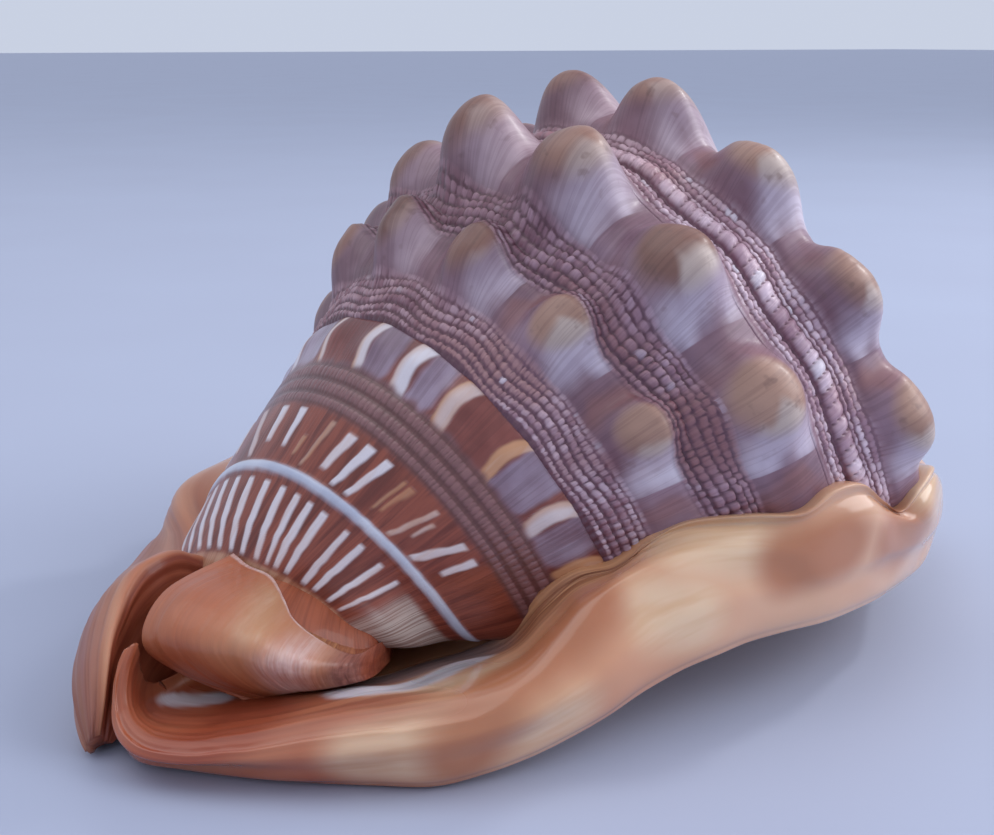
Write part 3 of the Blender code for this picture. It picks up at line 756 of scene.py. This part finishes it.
LIP = (
    ((-16, 4, 14), (-4, 5, 16), (10, 8, 18), (12.4, 12, 11), (8, 10, 4.5)),
    ((-17, 18, 18), (-6, 20, 19), (8, 24, 19), (10.5, 28, 10), (6, 25, 2.5)),
    ((-19, 32, 24), (-9, 35, 24), (1, 40, 21), (4, 43.5, 10), (0, 38, 0.8)),
    ((-20, 42, 30), (-15, 46, 28), (-12, 50, 23), (-12, 54, 11), (-13, 48, 0)),
    ((-32, 46, 31), (-30, 51, 29), (-30, 56, 24), (-30, 60, 12), (-30, 53, 0)),
    ((-50, 47, 30), (-50, 52, 28), (-50, 57, 23), (-50, 60.5, 12), (-50, 54, 0)),
    ((-66, 44, 28), (-67, 49, 26), (-68, 54, 21), (-68, 57, 11), (-67, 50, 0)),
    ((-80, 38, 25), (-82, 43, 23.5), (-84, 47.5, 20), (-84, 50, 10), (-82, 43, 0)),
    ((-92, 30, 21), (-95, 35, 21), (-98, 39.5, 19.5), (-98.5, 42, 10), (-95, 35, 0)),
    ((-101, 20, 16), (-105, 25, 18), (-109, 29.5, 19), (-110, 32, 10), (-106, 25.5, 0)),
    ((-106, 10, 8), (-108, 10, 12), (-111.5, 12, 16.4), (-115.5, 25, 12), (-111, 19, 0)),
    ((-109, 3, 5), (-110.6, 3, 11), (-112.5, 4.5, 16.2), (-120.8, 18, 11.5), (-116, 12, 0)),
    ((-113, 0, 4), (-114.6, 1.6, 12), (-115.4, 3.6, 17.4), (-124.3, 13.8, 11), (-120, 8, 0)),
    ((-115.5, -1.5, 4), (-117.4, 0.4, 13.5), (-118, 2.3, 18.9), (-127.2, 9.2, 10.5), (-122.5, 4.5, 0)),
    ((-118.5, -3, 4), (-120.4, -1.4, 14), (-120.8, 0.3, 19.4), (-129.6, 5.2, 10), (-125, 1.5, 0)),
    ((-121.5, -4.5, 4), (-123.3, -3, 13), (-123.8, -1.2, 18.8), (-131.9, 1.2, 9.5), (-127.8, -1.5, 0)),
    ((-124, -6.5, 3.5), (-126, -5.4, 12), (-126.3, -3.6, 17.3), (-133.6, -2.5, 8.6), (-130, -4.4, 0)),
    ((-126, -9, 3), (-128, -7.6, 10.5), (-128.2, -6.1, 15.6), (-135, -5.8, 7.6), (-131.6, -7.2, 0)),
    ((-129, -11.5, 2.5), (-130.6, -11, 9.5), (-130.8, -10.7, 13.6), (-136, -9.4, 6.4), (-133, -10.2, 0)),
    ((-130.6, -13, 2), (-132, -13.2, 7), (-132.4, -13.8, 10.8), (-136.3, -12, 4.8), (-134, -12, 0.1)),
    ((-131.6, -13.6, 1.5), (-132.8, -14, 4.6), (-133.4, -15, 7.2), (-136.2, -13.6, 3.2), (-134.6, -13.2, 0.2)),
    ((-132.4, -13.8, 1), (-133.4, -14.2, 2), (-134.2, -15, 3.2), (-135.8, -14.4, 1.6), (-134.8, -13.8, 0.3)),
)
APERTURE = (
    (-142, -17, 6), (-134, -12.5, 6), (-126, -9, 5.5), (-119.5, -6, 5), (-115, -4, 5.5), (-104, 0, 7),
    (-88, 5, 9), (-66, 10, 10), (-42, 13.5, 10), (-20, 13.5, 8.5), (-5, 10, 6), (6, 4, 3),
)
# Scroll: growth lines from its free edge, at the left, to the pit; five points each, from the top down
SCROLL = (
    ((-112.4, -3, 19), (-123.1, -9, 18.2), (-127.4, -12.5, 13.5), (-123.6, -13, 8.6), (-115.8, -17.8, 4.5)),
    ((-111.2, -6, 18.1), (-120.8, -13, 18.9), (-125.4, -16.5, 14.9), (-121.5, -17, 9), (-114, -18.6, 4.8)),
    ((-109.1, -9, 17.2), (-117.9, -17, 18), (-122.2, -20, 14.6), (-118.3, -19.8, 8.6), (-112.4, -19.4, 5.1)),
    ((-108.9, -13.5, 15.6), (-115.7, -21, 16.3), (-118.3, -22.8, 13.5), (-115, -21.6, 8.2), (-111.1, -20.4, 5.5)),
    ((-109.1, -18, 14.3), (-113.8, -23.5, 14.4), (-115.1, -24.6, 11.9), (-112.8, -23, 8.3), (-109.9, -21.6, 6)),
    ((-107, -22, 12.5), (-110.2, -25.6, 12.4), (-110.9, -26.2, 10.8), (-109.9, -24.8, 8.5), (-108.2, -23.2, 6.5)),
    ((-103.4, -24, 10.7), (-105.3, -25.8, 10.6), (-105.7, -26, 9.6), (-105.2, -25.4, 8.3), (-104.2, -24.8, 7.1)),
    ((-98.6, -20.6, 9.6), (-100.2, -23.1, 9.2), (-100.8, -24, 8.6), (-100.8, -24, 7.8), (-100.6, -24, 7)),
    ((-93.5, -14.5, 7.4), (-94.8, -16.5, 7.2), (-95.2, -17.2, 6.6), (-95.2, -17.2, 5.8), (-95, -17, 5)),
)
SCROLL_THICKNESS = (1, 2.2, 3, 3.6, 4, 4, 4, 4, 3)
# From the scroll's upper edge to the bed of the trough behind it, and on to the whorl's foot
TROUGH_BED = (
    (0.5, 0.9, -0.8), (0.6, 1, -0.9), (1.2, 2, -1), (2.5, 3.8, -1.6), (3.5, 5.6, -2.2), (4, 7.4, -1.8),
    (3.6, 7.2, -1.4), (2, 4, -1), (1, 2, -0.8),
)
TROUGH_END = (
    (1, 1.8, -1.4), (1.2, 2.2, -1.4), (2.6, 4.2, -0.6), (5, 7.5, 0.8), (7, 11, 1.8), (8, 14, 3),
    (7.5, 14, 3.4), (4.5, 9, 3), (2, 5, 1.5),
)
# Painted places on the rim, as paths through the middle of each; SCROLL_GLEAM and the fourth cream band are
# painted highlights
CALLUS = (
    (-105, -25.6, 7.2), (-102.6, -28.8, 7.8), (-99.6, -30, 8.2), (-95.4, -30, 8.2), (-91.3, -28.4, 8.2),
    (-88.4, -27.2, 8.4),
)
BOWL_MARK = ((-124, -12.6, 4.6), (-121.3, -14.2, 4.2), (-118.6, -15, 4.2))
# A painted highlight on the scroll's face, laid on with the cream mask.
SCROLL_GLEAM = ((-110.5, -13, 16.6), (-116, -21.3, 16.0))
CREAM_BANDS_AND_HIGHLIGHT = (
    ((-104, -36, 9.6), (-98, -38.5, 11), (-93, -39.5, 12.5)),
    ((-110, -41, 5.5), (-101, -45.5, 6.5)),
    ((-93, -47, 8), (-86, -48, 8)),
    # painted highlight on the rim's front, not a cream band
    ((-72, -45.5, 18), (-67, -46.5, 17)),
    ((-66, -42, 24.5), (-56, -46, 25.5)),
    ((-30, -46.5, 25), (-24, -45, 26), (-20, -43, 26)),
)
TAN_PATCHES = (
    ((-99, -44.8, 6), (-96, -45.5, 9), (-91.5, -44, 12.5), (-86, -43.6, 16), (-80.5, -43, 19.5)),
    ((-52, -48.2, 22), (-44, -49, 23)),
    ((-33, -47.6, 22), (-29, -46.6, 20)),
)
TOOTH_SPACING = 5.6                              # teeth of the outer lip, in millimetres
FOLD_SPACING = 4.4                               # folds of the inner side of the mouth
LINING_FROM, LINING_LENGTH = -127.0, 132.0       # the dark passage, along the mouth


def spline(points, place):
    """Smooth curve through evenly numbered points of any shape; place runs from 0 to count - 1."""
    points = np.asarray(points, dtype=float)
    last = len(points) - 1
    start = np.clip(np.floor(place).astype(int), 0, last - 1)
    share = (place - start).reshape((-1,) + (1,) * (points.ndim - 1))
    before = points[np.clip(start - 1, 0, last)]
    here = points[start]
    ahead = points[start + 1]
    after = points[np.clip(start + 2, 0, last)]
    return 0.5 * (
        2 * here + (ahead - before) * share
        + (2 * before - 5 * here + 4 * ahead - after) * share ** 2
        + (3 * here - before - 3 * ahead + after) * share ** 3
    )


def even_places(points, count):
    """Places along a spline's numbering that are evenly spaced by length."""
    fine = np.linspace(0, len(points) - 1, 1200)
    curve = spline(points, fine)
    length = np.concatenate([[0], np.cumsum(np.linalg.norm(np.diff(curve, axis=0), axis=1))])
    return np.interp(np.linspace(0, length[-1], count), length, fine), length[-1]


def loop_places(rings, count):
    """Close each ring of points into a smooth loop of count points; the first is not repeated."""
    wrapped = np.concatenate([rings[:, -2:], rings, rings[:, :3]], axis=1)
    turned = np.moveaxis(wrapped, 1, 0)
    place = 2 + np.arange(count) * rings.shape[1] / count
    return np.moveaxis(spline(turned, place), 0, 1)


def aperture_edge(x, side):
    """Point on the aperture's edge at x; side is 1 for the shield's and -1 for the lip's."""
    table = np.array(APERTURE)
    middle = np.interp(x, table[:, 0], table[:, 1])
    wide = np.interp(x, table[:, 0], table[:, 2])
    return middle - side * wide / 2


def full_section(row, side):
    """Add the ventral face, the aperture's edge and the hidden inside to a station's five points."""
    edge, hollow, crest, rim, under = (np.array(point, dtype=float) for point in row)
    inner_x = np.clip(under[0] + 0.1 * (-60 - under[0]), -133, 4)
    inner_y = aperture_edge(inner_x, side)
    lip = np.array([inner_x, inner_y, 4.6 if side > 0 else 4.0])
    middle = under * 0.5 + lip * 0.5 + np.array([0, 0, 0.6])
    deep = np.array([inner_x, inner_y - side * 2.0, 11.0])
    shoulder = crest * 0.45 + rim * 0.55 + (crest - edge) * 0.12
    low = rim * 0.5 + under * 0.5 + (rim - lip) * 0.03
    low[2] = under[2] + (rim[2] - under[2]) * 0.3
    buried = deep * 0.5 + edge * 0.5 - np.array([0, -side * 3.0, 0])
    ceiling = max(edge[2] - 1.2, 0.6)
    lip[2], deep[2], buried[2] = min(lip[2], ceiling), min(deep[2], ceiling), min(buried[2], ceiling)
    middle[2] = under[2] * 0.5 + lip[2] * 0.5 + 0.3
    ending = float(ease(-125.0, -131.0, under[0]))
    heart = (edge + hollow + rim + under) / 4
    lip = lip + ending * (under * 0.7 + heart * 0.3 - lip)
    middle = middle + ending * (under * 0.85 + heart * 0.15 - middle)
    deep = deep + ending * (under * 0.35 + heart * 0.65 - deep)
    buried = buried + ending * (edge * 0.4 + heart * 0.6 - buried)
    return [edge, hollow, crest, shoulder, rim, low, under, middle, lip, deep, buried]


def closed_strip(name, stations, columns, rows, side, relief):
    """Loft closed sections along the stations and raise their relief; returns the piece, each point's
    place, its distance along and share around, its station and its corner of the section."""
    sections = np.array([full_section(row, side) for row in stations])
    numbers, length = even_places(sections[:, 4], columns + 1)
    loops = loop_places(spline(sections, numbers), rows)
    corners = sections.shape[1]
    station, corner = np.meshgrid(numbers, np.arange(rows) * corners / rows, indexing="ij")
    run = np.linspace(0, length, columns + 1)[:, None] + np.zeros(rows)
    ahead = np.gradient(loops, axis=0)
    around = np.roll(loops, -1, axis=1) - np.roll(loops, 1, axis=1)
    out = np.cross(ahead, around)
    out = out / np.maximum(np.linalg.norm(out, axis=2, keepdims=True), 1e-9)
    from_middle = loops - loops.mean(axis=1, keepdims=True)
    out = out * np.sign((out * from_middle).sum())
    loops = loops + out * relief(station, corner, run)[..., None]
    loops[..., 2] = np.maximum(loops[..., 2], 0.02)
    piece, across, along = start_sheet(name, columns, rows)
    column = np.rint(across * columns).astype(int)
    row = np.rint(along * rows).astype(int) % rows
    return piece, loops[column, row], across * length, along, station[column, row], corner[column, row]


def finish_strip(piece, places, across, along):
    """Place a strip's points, close its seam and ends and glaze it."""
    shape_sheet(piece, places + MIDDLE)
    set_uv(piece, across / MAP_STRIP, along)
    open_to_edit(piece)
    bpy.ops.mesh.select_all(action="SELECT")
    bpy.ops.mesh.remove_doubles(threshold=0.000001)
    bpy.ops.mesh.select_all(action="DESELECT")
    bpy.ops.mesh.select_non_manifold(
        extend=False, use_multi_face=False, use_non_contiguous=False, use_wire=False)
    bpy.ops.mesh.fill()
    close_edit()
    dress(piece, glazed_material(piece.name))


def near_path(places, path, half, soft):
    """1 within half of a path, in millimetres, fading over soft."""
    nearest = np.full(len(places), 1e9)
    for start, end in zip(path[:-1], path[1:]):
        start, end = np.array(start, dtype=float), np.array(end, dtype=float)
        share = np.clip((places - start) @ (end - start) / ((end - start) @ (end - start)), 0, 1)
        nearest = np.minimum(nearest, np.linalg.norm(places - start - share[:, None] * (end - start), axis=1))
    return ease(half + soft, half, nearest)


def near_any(places, paths, half, soft):
    return most(*(near_path(places, path, half, soft) for path in paths))


def fold_angle(run):
    return 2 * math.pi * run / FOLD_SPACING + wave(run * 0.11, 9)


def shield_relief(station, corner, run):
    """Layered growth lines of the bowl, wrinkles beside the whorl, folds of the mouth."""
    bowl = ease(10.2, 8.4, station) * ease(0.3, 0.9, corner) * ease(3.2, 2.2, corner)
    drift = corner + 0.05 * np.sin(station * 1.3) + 0.03 * wave(station * 2.1, 44)
    layers = 0.26 * wave(drift * 6.5, 51) + 0.12 * wave(drift * 15.0, 52)
    beside = ease(10.2, 11.0, station) * ease(16.0, 14.6, station) * ease(2.0, 1.0, corner)
    wrinkles = 0.45 * wave(drift * 8.0 + 0.15 * station, 53)
    mouth = ease(6.3, 7.2, corner) * ease(9.2, 8.4, corner) * ease(7, 10, station)
    folds = 0.9 * (0.5 + 0.5 * np.cos(fold_angle(run))) ** 1.4
    uneven = 0.3 * wave(station * 0.8 + 0.3 * corner, 55)
    uneven = uneven * ease(1.6, 2.4, corner) * ease(5.5, 4.5, corner) * ease(30, 27, station)
    return bowl * layers + beside * wrinkles + mouth * folds + uneven


def lip_relief(station, corner, run):
    """Growth lines of the flap beside the canal, and the teeth of the mouth."""
    flap = ease(8, 10.5, station) * ease(0.2, 0.9, corner) * ease(6.0, 5.0, corner)
    layers = 0.2 * wave(corner * 5.0 + 0.1 * np.sin(station), 61) + 0.1 * wave(corner * 12.0, 62)
    mouth = ease(6.2, 7.4, corner) * ease(9.4, 8.5, corner) * ease(12, 9.5, station)
    teeth = 1.7 * (0.5 + 0.5 * np.cos(2 * math.pi * run / TOOTH_SPACING)) ** 1.6
    body = 0.35 * wave(run / 9.0, 63) * ease(0, 2, station) * ease(9, 7, station)
    body = body * ease(1.5, 2.5, corner) * ease(5.5, 4.5, corner)
    return flap * layers + mouth * teeth + body


def glazed_material(name):
    """Peach glaze; the masks on the pieces lay on orange, cream, tan, chalk and the greyer places. Some of these
    are painted shade: the hollow by the whorl's foot, the rim's low side and the way into the pit. Painted
    highlights come with the cream mask.
    """
    made, net, surface, coiled, solid = new_material(name, 0.26, 0.6, 0.045)
    lines = net.grouped("growth_lines", coiled, Lines_Across=5.0, Lines_Along=90.0, Start=3.1)
    broad = net.grouped("growth_lines", coiled, Lines_Across=9.0, Lines_Along=16.0, Start=8.3)
    squat = net.nodes.new("ShaderNodeMapping")
    squat.inputs["Scale"].default_value = (22.0, 22.0, 40.0)
    net.put(squat.inputs["Vector"], solid)
    clouds = net.noise(squat.outputs[0], 1.0, 2.0)
    streaks = net.step(net.worked("MULTIPLY_ADD", lines, 0.45, net.times(broad, 0.55)), 0.38, 0.62)
    matt = net.mask("matt")
    lined = net.times(net.worked("SUBTRACT", 1.0, streaks), matt)
    orange = net.shades(clouds, 0.34, 0.66, (160, 68, 34), (196, 110, 66))
    colour = net.layers(
        net.shades(clouds, 0.36, 0.64, (206, 142, 104), (224, 174, 140)),
        ("cream", net.step(broad, 0.35, 0.65), (216, 176, 136), (232, 204, 170)),
        ("tan", clouds, (162, 90, 54), (190, 122, 82)),
        ("orange", net.times(lined, 0.55), orange, (140, 66, 40)),
        ("wrinkled", streaks, (136, 78, 50), (202, 146, 104)),
        # painted shade in the hollow by the whorl's foot and towards the pit; on the lip's flap, the flap's own
        # greyer colour
        ("dull", streaks, (104, 78, 76), (150, 120, 114)),
        # painted shade: greyer on the rim's low side
        ("ashen", clouds, (186, 148, 140), (204, 172, 164)),
        ("dark", streaks, (132, 58, 36), (164, 84, 56)),
        ("chalk", streaks, (206, 196, 200), (226, 222, 228)),
        ("rose", streaks, (206, 160, 150), (228, 200, 194)),
    )
    net.put(surface["Base Color"], colour)
    surface["Subsurface Weight"].default_value = 0.12
    surface["Subsurface Radius"].default_value = (0.004, 0.0015, 0.0007)
    net.put(surface["Roughness"], net.worked("MULTIPLY_ADD", matt, 0.36, 0.22))
    net.put(surface["Coat Weight"], net.worked("MULTIPLY_ADD", matt, -0.55, 0.6))
    grain = net.grouped("shell_grain", solid, Grains=700.0, Depth=0.05)
    net.put(surface["Normal"], net.raised(net.times(lines, matt), 0.0005, 0.22, grain))
    return made


GLAZE_MASKS = ("cream", "tan", "orange", "wrinkled", "dull", "ashen", "dark", "chalk", "rose", "matt")


def paint_glaze(piece, **painted):
    """Every mask of the glaze on a piece; those not named stay at nothing."""
    set_masks(piece, **{name: np.clip(painted.get(name, 0.0), 0, 1) for name in GLAZE_MASKS})


def glazed_shield():
    piece, places, across, along, station, corner = closed_strip(
        "glazed_shield", SHIELD, 520, 150, 1, shield_relief)
    wander = 0.6 * wave(corner * 1.7, 71) + 0.3 * wave(corner * 4.1, 72)
    top = ease(5.6, 5.0, corner)
    orange = ease(9.4, 7.0, station + 1.3 * wander) * (0.78 + 0.22 * wave(station * 0.9 + corner * 0.7, 73))
    orange = orange * (1 - 0.75 * near_any(places, CREAM_BANDS_AND_HIGHLIGHT[1:3], 2.0, 6.0))
    beside = ease(10.3, 11.0, station) * ease(15.4, 14.0, station) * ease(1.9, 1.0, corner)
    beside = most(beside, ease(14.5, 16.0, station) * ease(0.9, 0.2, corner) * 0.3)
    # Painted shade: the hollow by the whorl's foot, under its overhang, is laid greyer; it is also made matt.
    hollow = ease(1.05, 0.75, corner) * ease(7.0, 8.0, station) * ease(11.4, 10.6, station)
    bowl = ease(9.6, 8.2, station) * ease(0.2, 0.8, corner) * ease(2.7, 1.9, corner)
    mouth = ease(6.6, 7.6, corner) * ease(10.4, 9.6, corner)
    between = 0.5 - 0.5 * np.cos(fold_angle(across))
    layers = 0.8 * bowl * (0.55 + 0.45 * wave(corner * 7.0, 74))
    # Painted shade: the rim is laid greyer towards its low side, near the floor.
    low = ease(13.0, 3.0, places[:, 2]) * ease(8.5, 12.0, station) * ease(6.8, 6.0, corner)
    chalk = most(near_path(places, CALLUS, 2.3, 1.8), near_path(places, BOWL_MARK, 1.2, 1.4) * 0.9)
    paint_glaze(
        # the cream mask includes the painted highlight of the fourth band
        piece, cream=near_any(places, CREAM_BANDS_AND_HIGHLIGHT, 1.5, 6.0) * top * 0.75,
        tan=near_any(places, TAN_PATCHES, 2.4, 5.0) * 0.9, orange=orange, wrinkled=beside, dull=hollow,
        ashen=low * 0.35, dark=most(mouth * (0.35 + 0.6 * between), layers), chalk=chalk * top,
        matt=most(bowl * 0.9, beside, hollow),
    )
    finish_strip(piece, places, across, along)


def rolled_lip():
    piece, places, across, along, station, corner = closed_strip(
        "rolled_lip", LIP, 440, 140, -1, lip_relief)
    flap = ease(7.5, 10.0, station)
    inner = ease(9.5, 10.8, station) * (ease(2.05, 1.75, corner) + ease(9.0, 10.0, corner))
    mouth = ease(6.4, 7.6, corner) * ease(10.4, 9.6, corner)
    between = 0.5 - 0.5 * np.cos(2 * math.pi * across / TOOTH_SPACING)
    cream = ease(1.5, 2.5, corner) * ease(4.6, 3.6, corner) * (1 - flap)
    side = ease(6.5, 5.5, corner)
    paint_glaze(
        piece, cream=cream * (0.5 + 0.5 * wave(across / 7.0, 81)),
        orange=flap * (0.65 + 0.35 * wave(corner * 3.0 + station * 0.3, 82)),
        dark=most(inner, mouth * (0.25 + 0.7 * between) * (1 - 0.4 * flap)),
        # on the flap this greyer mask is the flap's own colour
        dull=0.4 * flap * ease(2.2, 2.8, corner) * side, matt=flap * side * 0.8,
    )
    finish_strip(piece, places, across, along)


def mouth_lining():
    """The dark passage above the gap between lip and shield."""
    columns, rows = 110, 24
    piece, across, along = start_sheet("mouth_lining", columns, rows)
    x = LINING_FROM + LINING_LENGTH * across
    around = 2 * math.pi * (np.rint(along * rows) % rows) / rows
    near, far = aperture_edge(x, 1), aperture_edge(x, -1)
    share = 0.5 - 0.5 * np.cos(around)
    bed = np.interp(x, (-127, -121, -112, -104, -92, 0), (2.2, 2.6, 2.9, 4.0, 4.4, 4.4))
    arch = np.interp(x, (-127, -112, -100, 2), (0.3, 0.8, 2.2, 2.2))
    inside = np.interp(x, (-118, -108), (0.6, 2.4))
    y = (near - inside) * (1 - share) + (far + inside) * share
    z = bed + arch * np.sin(math.pi * share) + 0.6 * np.sin(around)
    paint_glaze(piece, dark=0.85 + 0.15 * wave(x / 5.0, 97), matt=0.5)
    finish_strip(piece, np.column_stack([x, y, z]), across * LINING_LENGTH, along)


def canal_scroll():
    """The canal's end: a rounded leaf rolled over the bowl and run back into the pit."""
    front = np.array(SCROLL)
    thick = np.array(SCROLL_THICKNESS)[:, None] * np.array([0.5, 0.8, 0.1])
    upper, end = front[:, 0], np.array(TROUGH_END)
    behind = [
        front[:, 4] + thick, front[:, 2] + thick + end * 0.4, upper + end, upper + np.array(TROUGH_BED),
        upper + np.array([0.35, 0.6, -0.3]),
    ]
    sections = np.concatenate([front, np.stack(behind, axis=1)], axis=1)
    columns, rows = 240, 112
    numbers, length = even_places(sections[:, 2], columns + 1)
    loops = loop_places(spline(sections, numbers), rows)
    corner = np.arange(rows) * sections.shape[1] / rows
    face = ease(4.6, 3.9, corner) + ease(9.4, 10.0, corner)
    growth = 0.12 * wave(numbers * 4.0, 91) + 0.07 * wave(numbers * 11.0, 92)
    loops = loops - (np.array([0.5, 0.8, -0.3]) * growth[:, None])[:, None] * face[None, :, None]
    piece, across, along = start_sheet("canal_scroll", columns, rows)
    column = np.rint(across * columns).astype(int)
    row = np.rint(along * rows).astype(int) % rows
    places, station, corner = loops[column, row], numbers[column], corner[row]
    face = ease(4.6, 4.0, corner) + ease(9.2, 9.6, corner)
    trough = ease(6.6, 7.2, corner) * ease(9.6, 9.1, corner)
    # Painted shade: the scroll's underside, facing the bowl beneath it, is laid dark.
    shaded_underside = ease(4.4, 5.0, corner) * ease(7.2, 6.6, corner) * 0.8
    low = 0.9 * ease(2.6, 3.4, corner) * ease(2.5, 4.0, station)
    rose = ease(3.0, 4.4, station + 0.5 * (corner - 2)) * ease(5.6, 4.6, station)
    paint_glaze(
        # the cream here is a painted highlight along SCROLL_GLEAM
        piece, cream=0.8 * face * near_path(places, SCROLL_GLEAM, 0.6, 3.4), rose=rose * face * 0.85,
        orange=0.75 * ease(3.2, 1.2, station + 0.5 * wave(corner * 2.0, 93)) * face,
        # painted shade: the end that runs into the pit is laid greyer and darker
        tan=most(low, 0.5 * face), wrinkled=0.85 * trough, dull=ease(5.1, 6.0, station) * face,
        dark=most(shaded_underside, 0.6 * ease(5.2, 6.0, station), 0.95 * ease(5.7, 6.8, station)),
        matt=most(0.7, trough),
    )
    finish_strip(piece, places, along * MAP_STRIP, across * 1.2)


# Camera, light and floor
CAMERA_PLACE = (-0.1062, -0.18284, 0.08716)
CAMERA_HEADING = math.radians(29.43)
CAMERA_PITCH = math.radians(15.1)
LENS, SENSOR = 50.7, 36.0                        # the photo's own angle of view
# Lights: name, place, width, power, colour
LIGHTS = (
    ("window", (-0.35, 0.25, 0.95), 0.8, 1.8, (1.0, 0.97, 0.94)),
    ("bounce", (0.8, -0.5, 0.6), 0.9, 7.4, (0.96, 0.97, 1.0)),
    ("pane", (0.8, 0.02, 0.7), 0.08, 1.8, (1.0, 1.0, 1.0)),
)


def set_stage():
    scene = bpy.context.scene
    scene.view_settings.view_transform = "Standard"
    lens = bpy.data.cameras.new("camera")
    lens.lens = LENS
    lens.sensor_width = SENSOR
    lens.clip_start = 0.01
    camera = bpy.data.objects.new("camera", lens)
    scene.collection.objects.link(camera)
    camera.location = CAMERA_PLACE
    level = math.cos(CAMERA_PITCH)
    look = Vector((math.sin(CAMERA_HEADING) * level, math.cos(CAMERA_HEADING) * level, -math.sin(CAMERA_PITCH)))
    camera.rotation_euler = look.to_track_quat("-Z", "Y").to_euler()
    scene.camera = camera
    deselect()
    bpy.ops.mesh.primitive_plane_add(size=20.0, location=(0, 0, 0))
    floor = bpy.context.object
    floor.name = "floor"
    made, net, surface, _, solid = new_material("pale_floor", 0.5)
    net.put(surface["Base Color"], net.mix(net.noise(solid, 9.0, 2.0), (172, 178, 200), (178, 186, 208)))
    floor.data.materials.append(made)
    for name, place, wide, power, tint in LIGHTS:
        light = bpy.data.lights.new(name, "AREA")
        light.size = wide
        light.energy = power
        light.color = tint
        holder = bpy.data.objects.new(name, light)
        scene.collection.objects.link(holder)
        holder.location = place
        holder.rotation_euler = (-Vector(place)).to_track_quat("-Z", "Y").to_euler()
    world = bpy.data.worlds.new("soft_room")
    scene.world = world
    world.use_nodes = True
    background = world.node_tree.nodes["Background"].inputs
    background[0].default_value = (*srgb(206, 214, 232), 1.0)
    background[1].default_value = 0.95


shared_groups()
set_stage()
knobbed_back()
spire_whorls()
spire_tip()
marked_front()
glazed_shield()
rolled_lip()
mouth_lining()
canal_scroll()
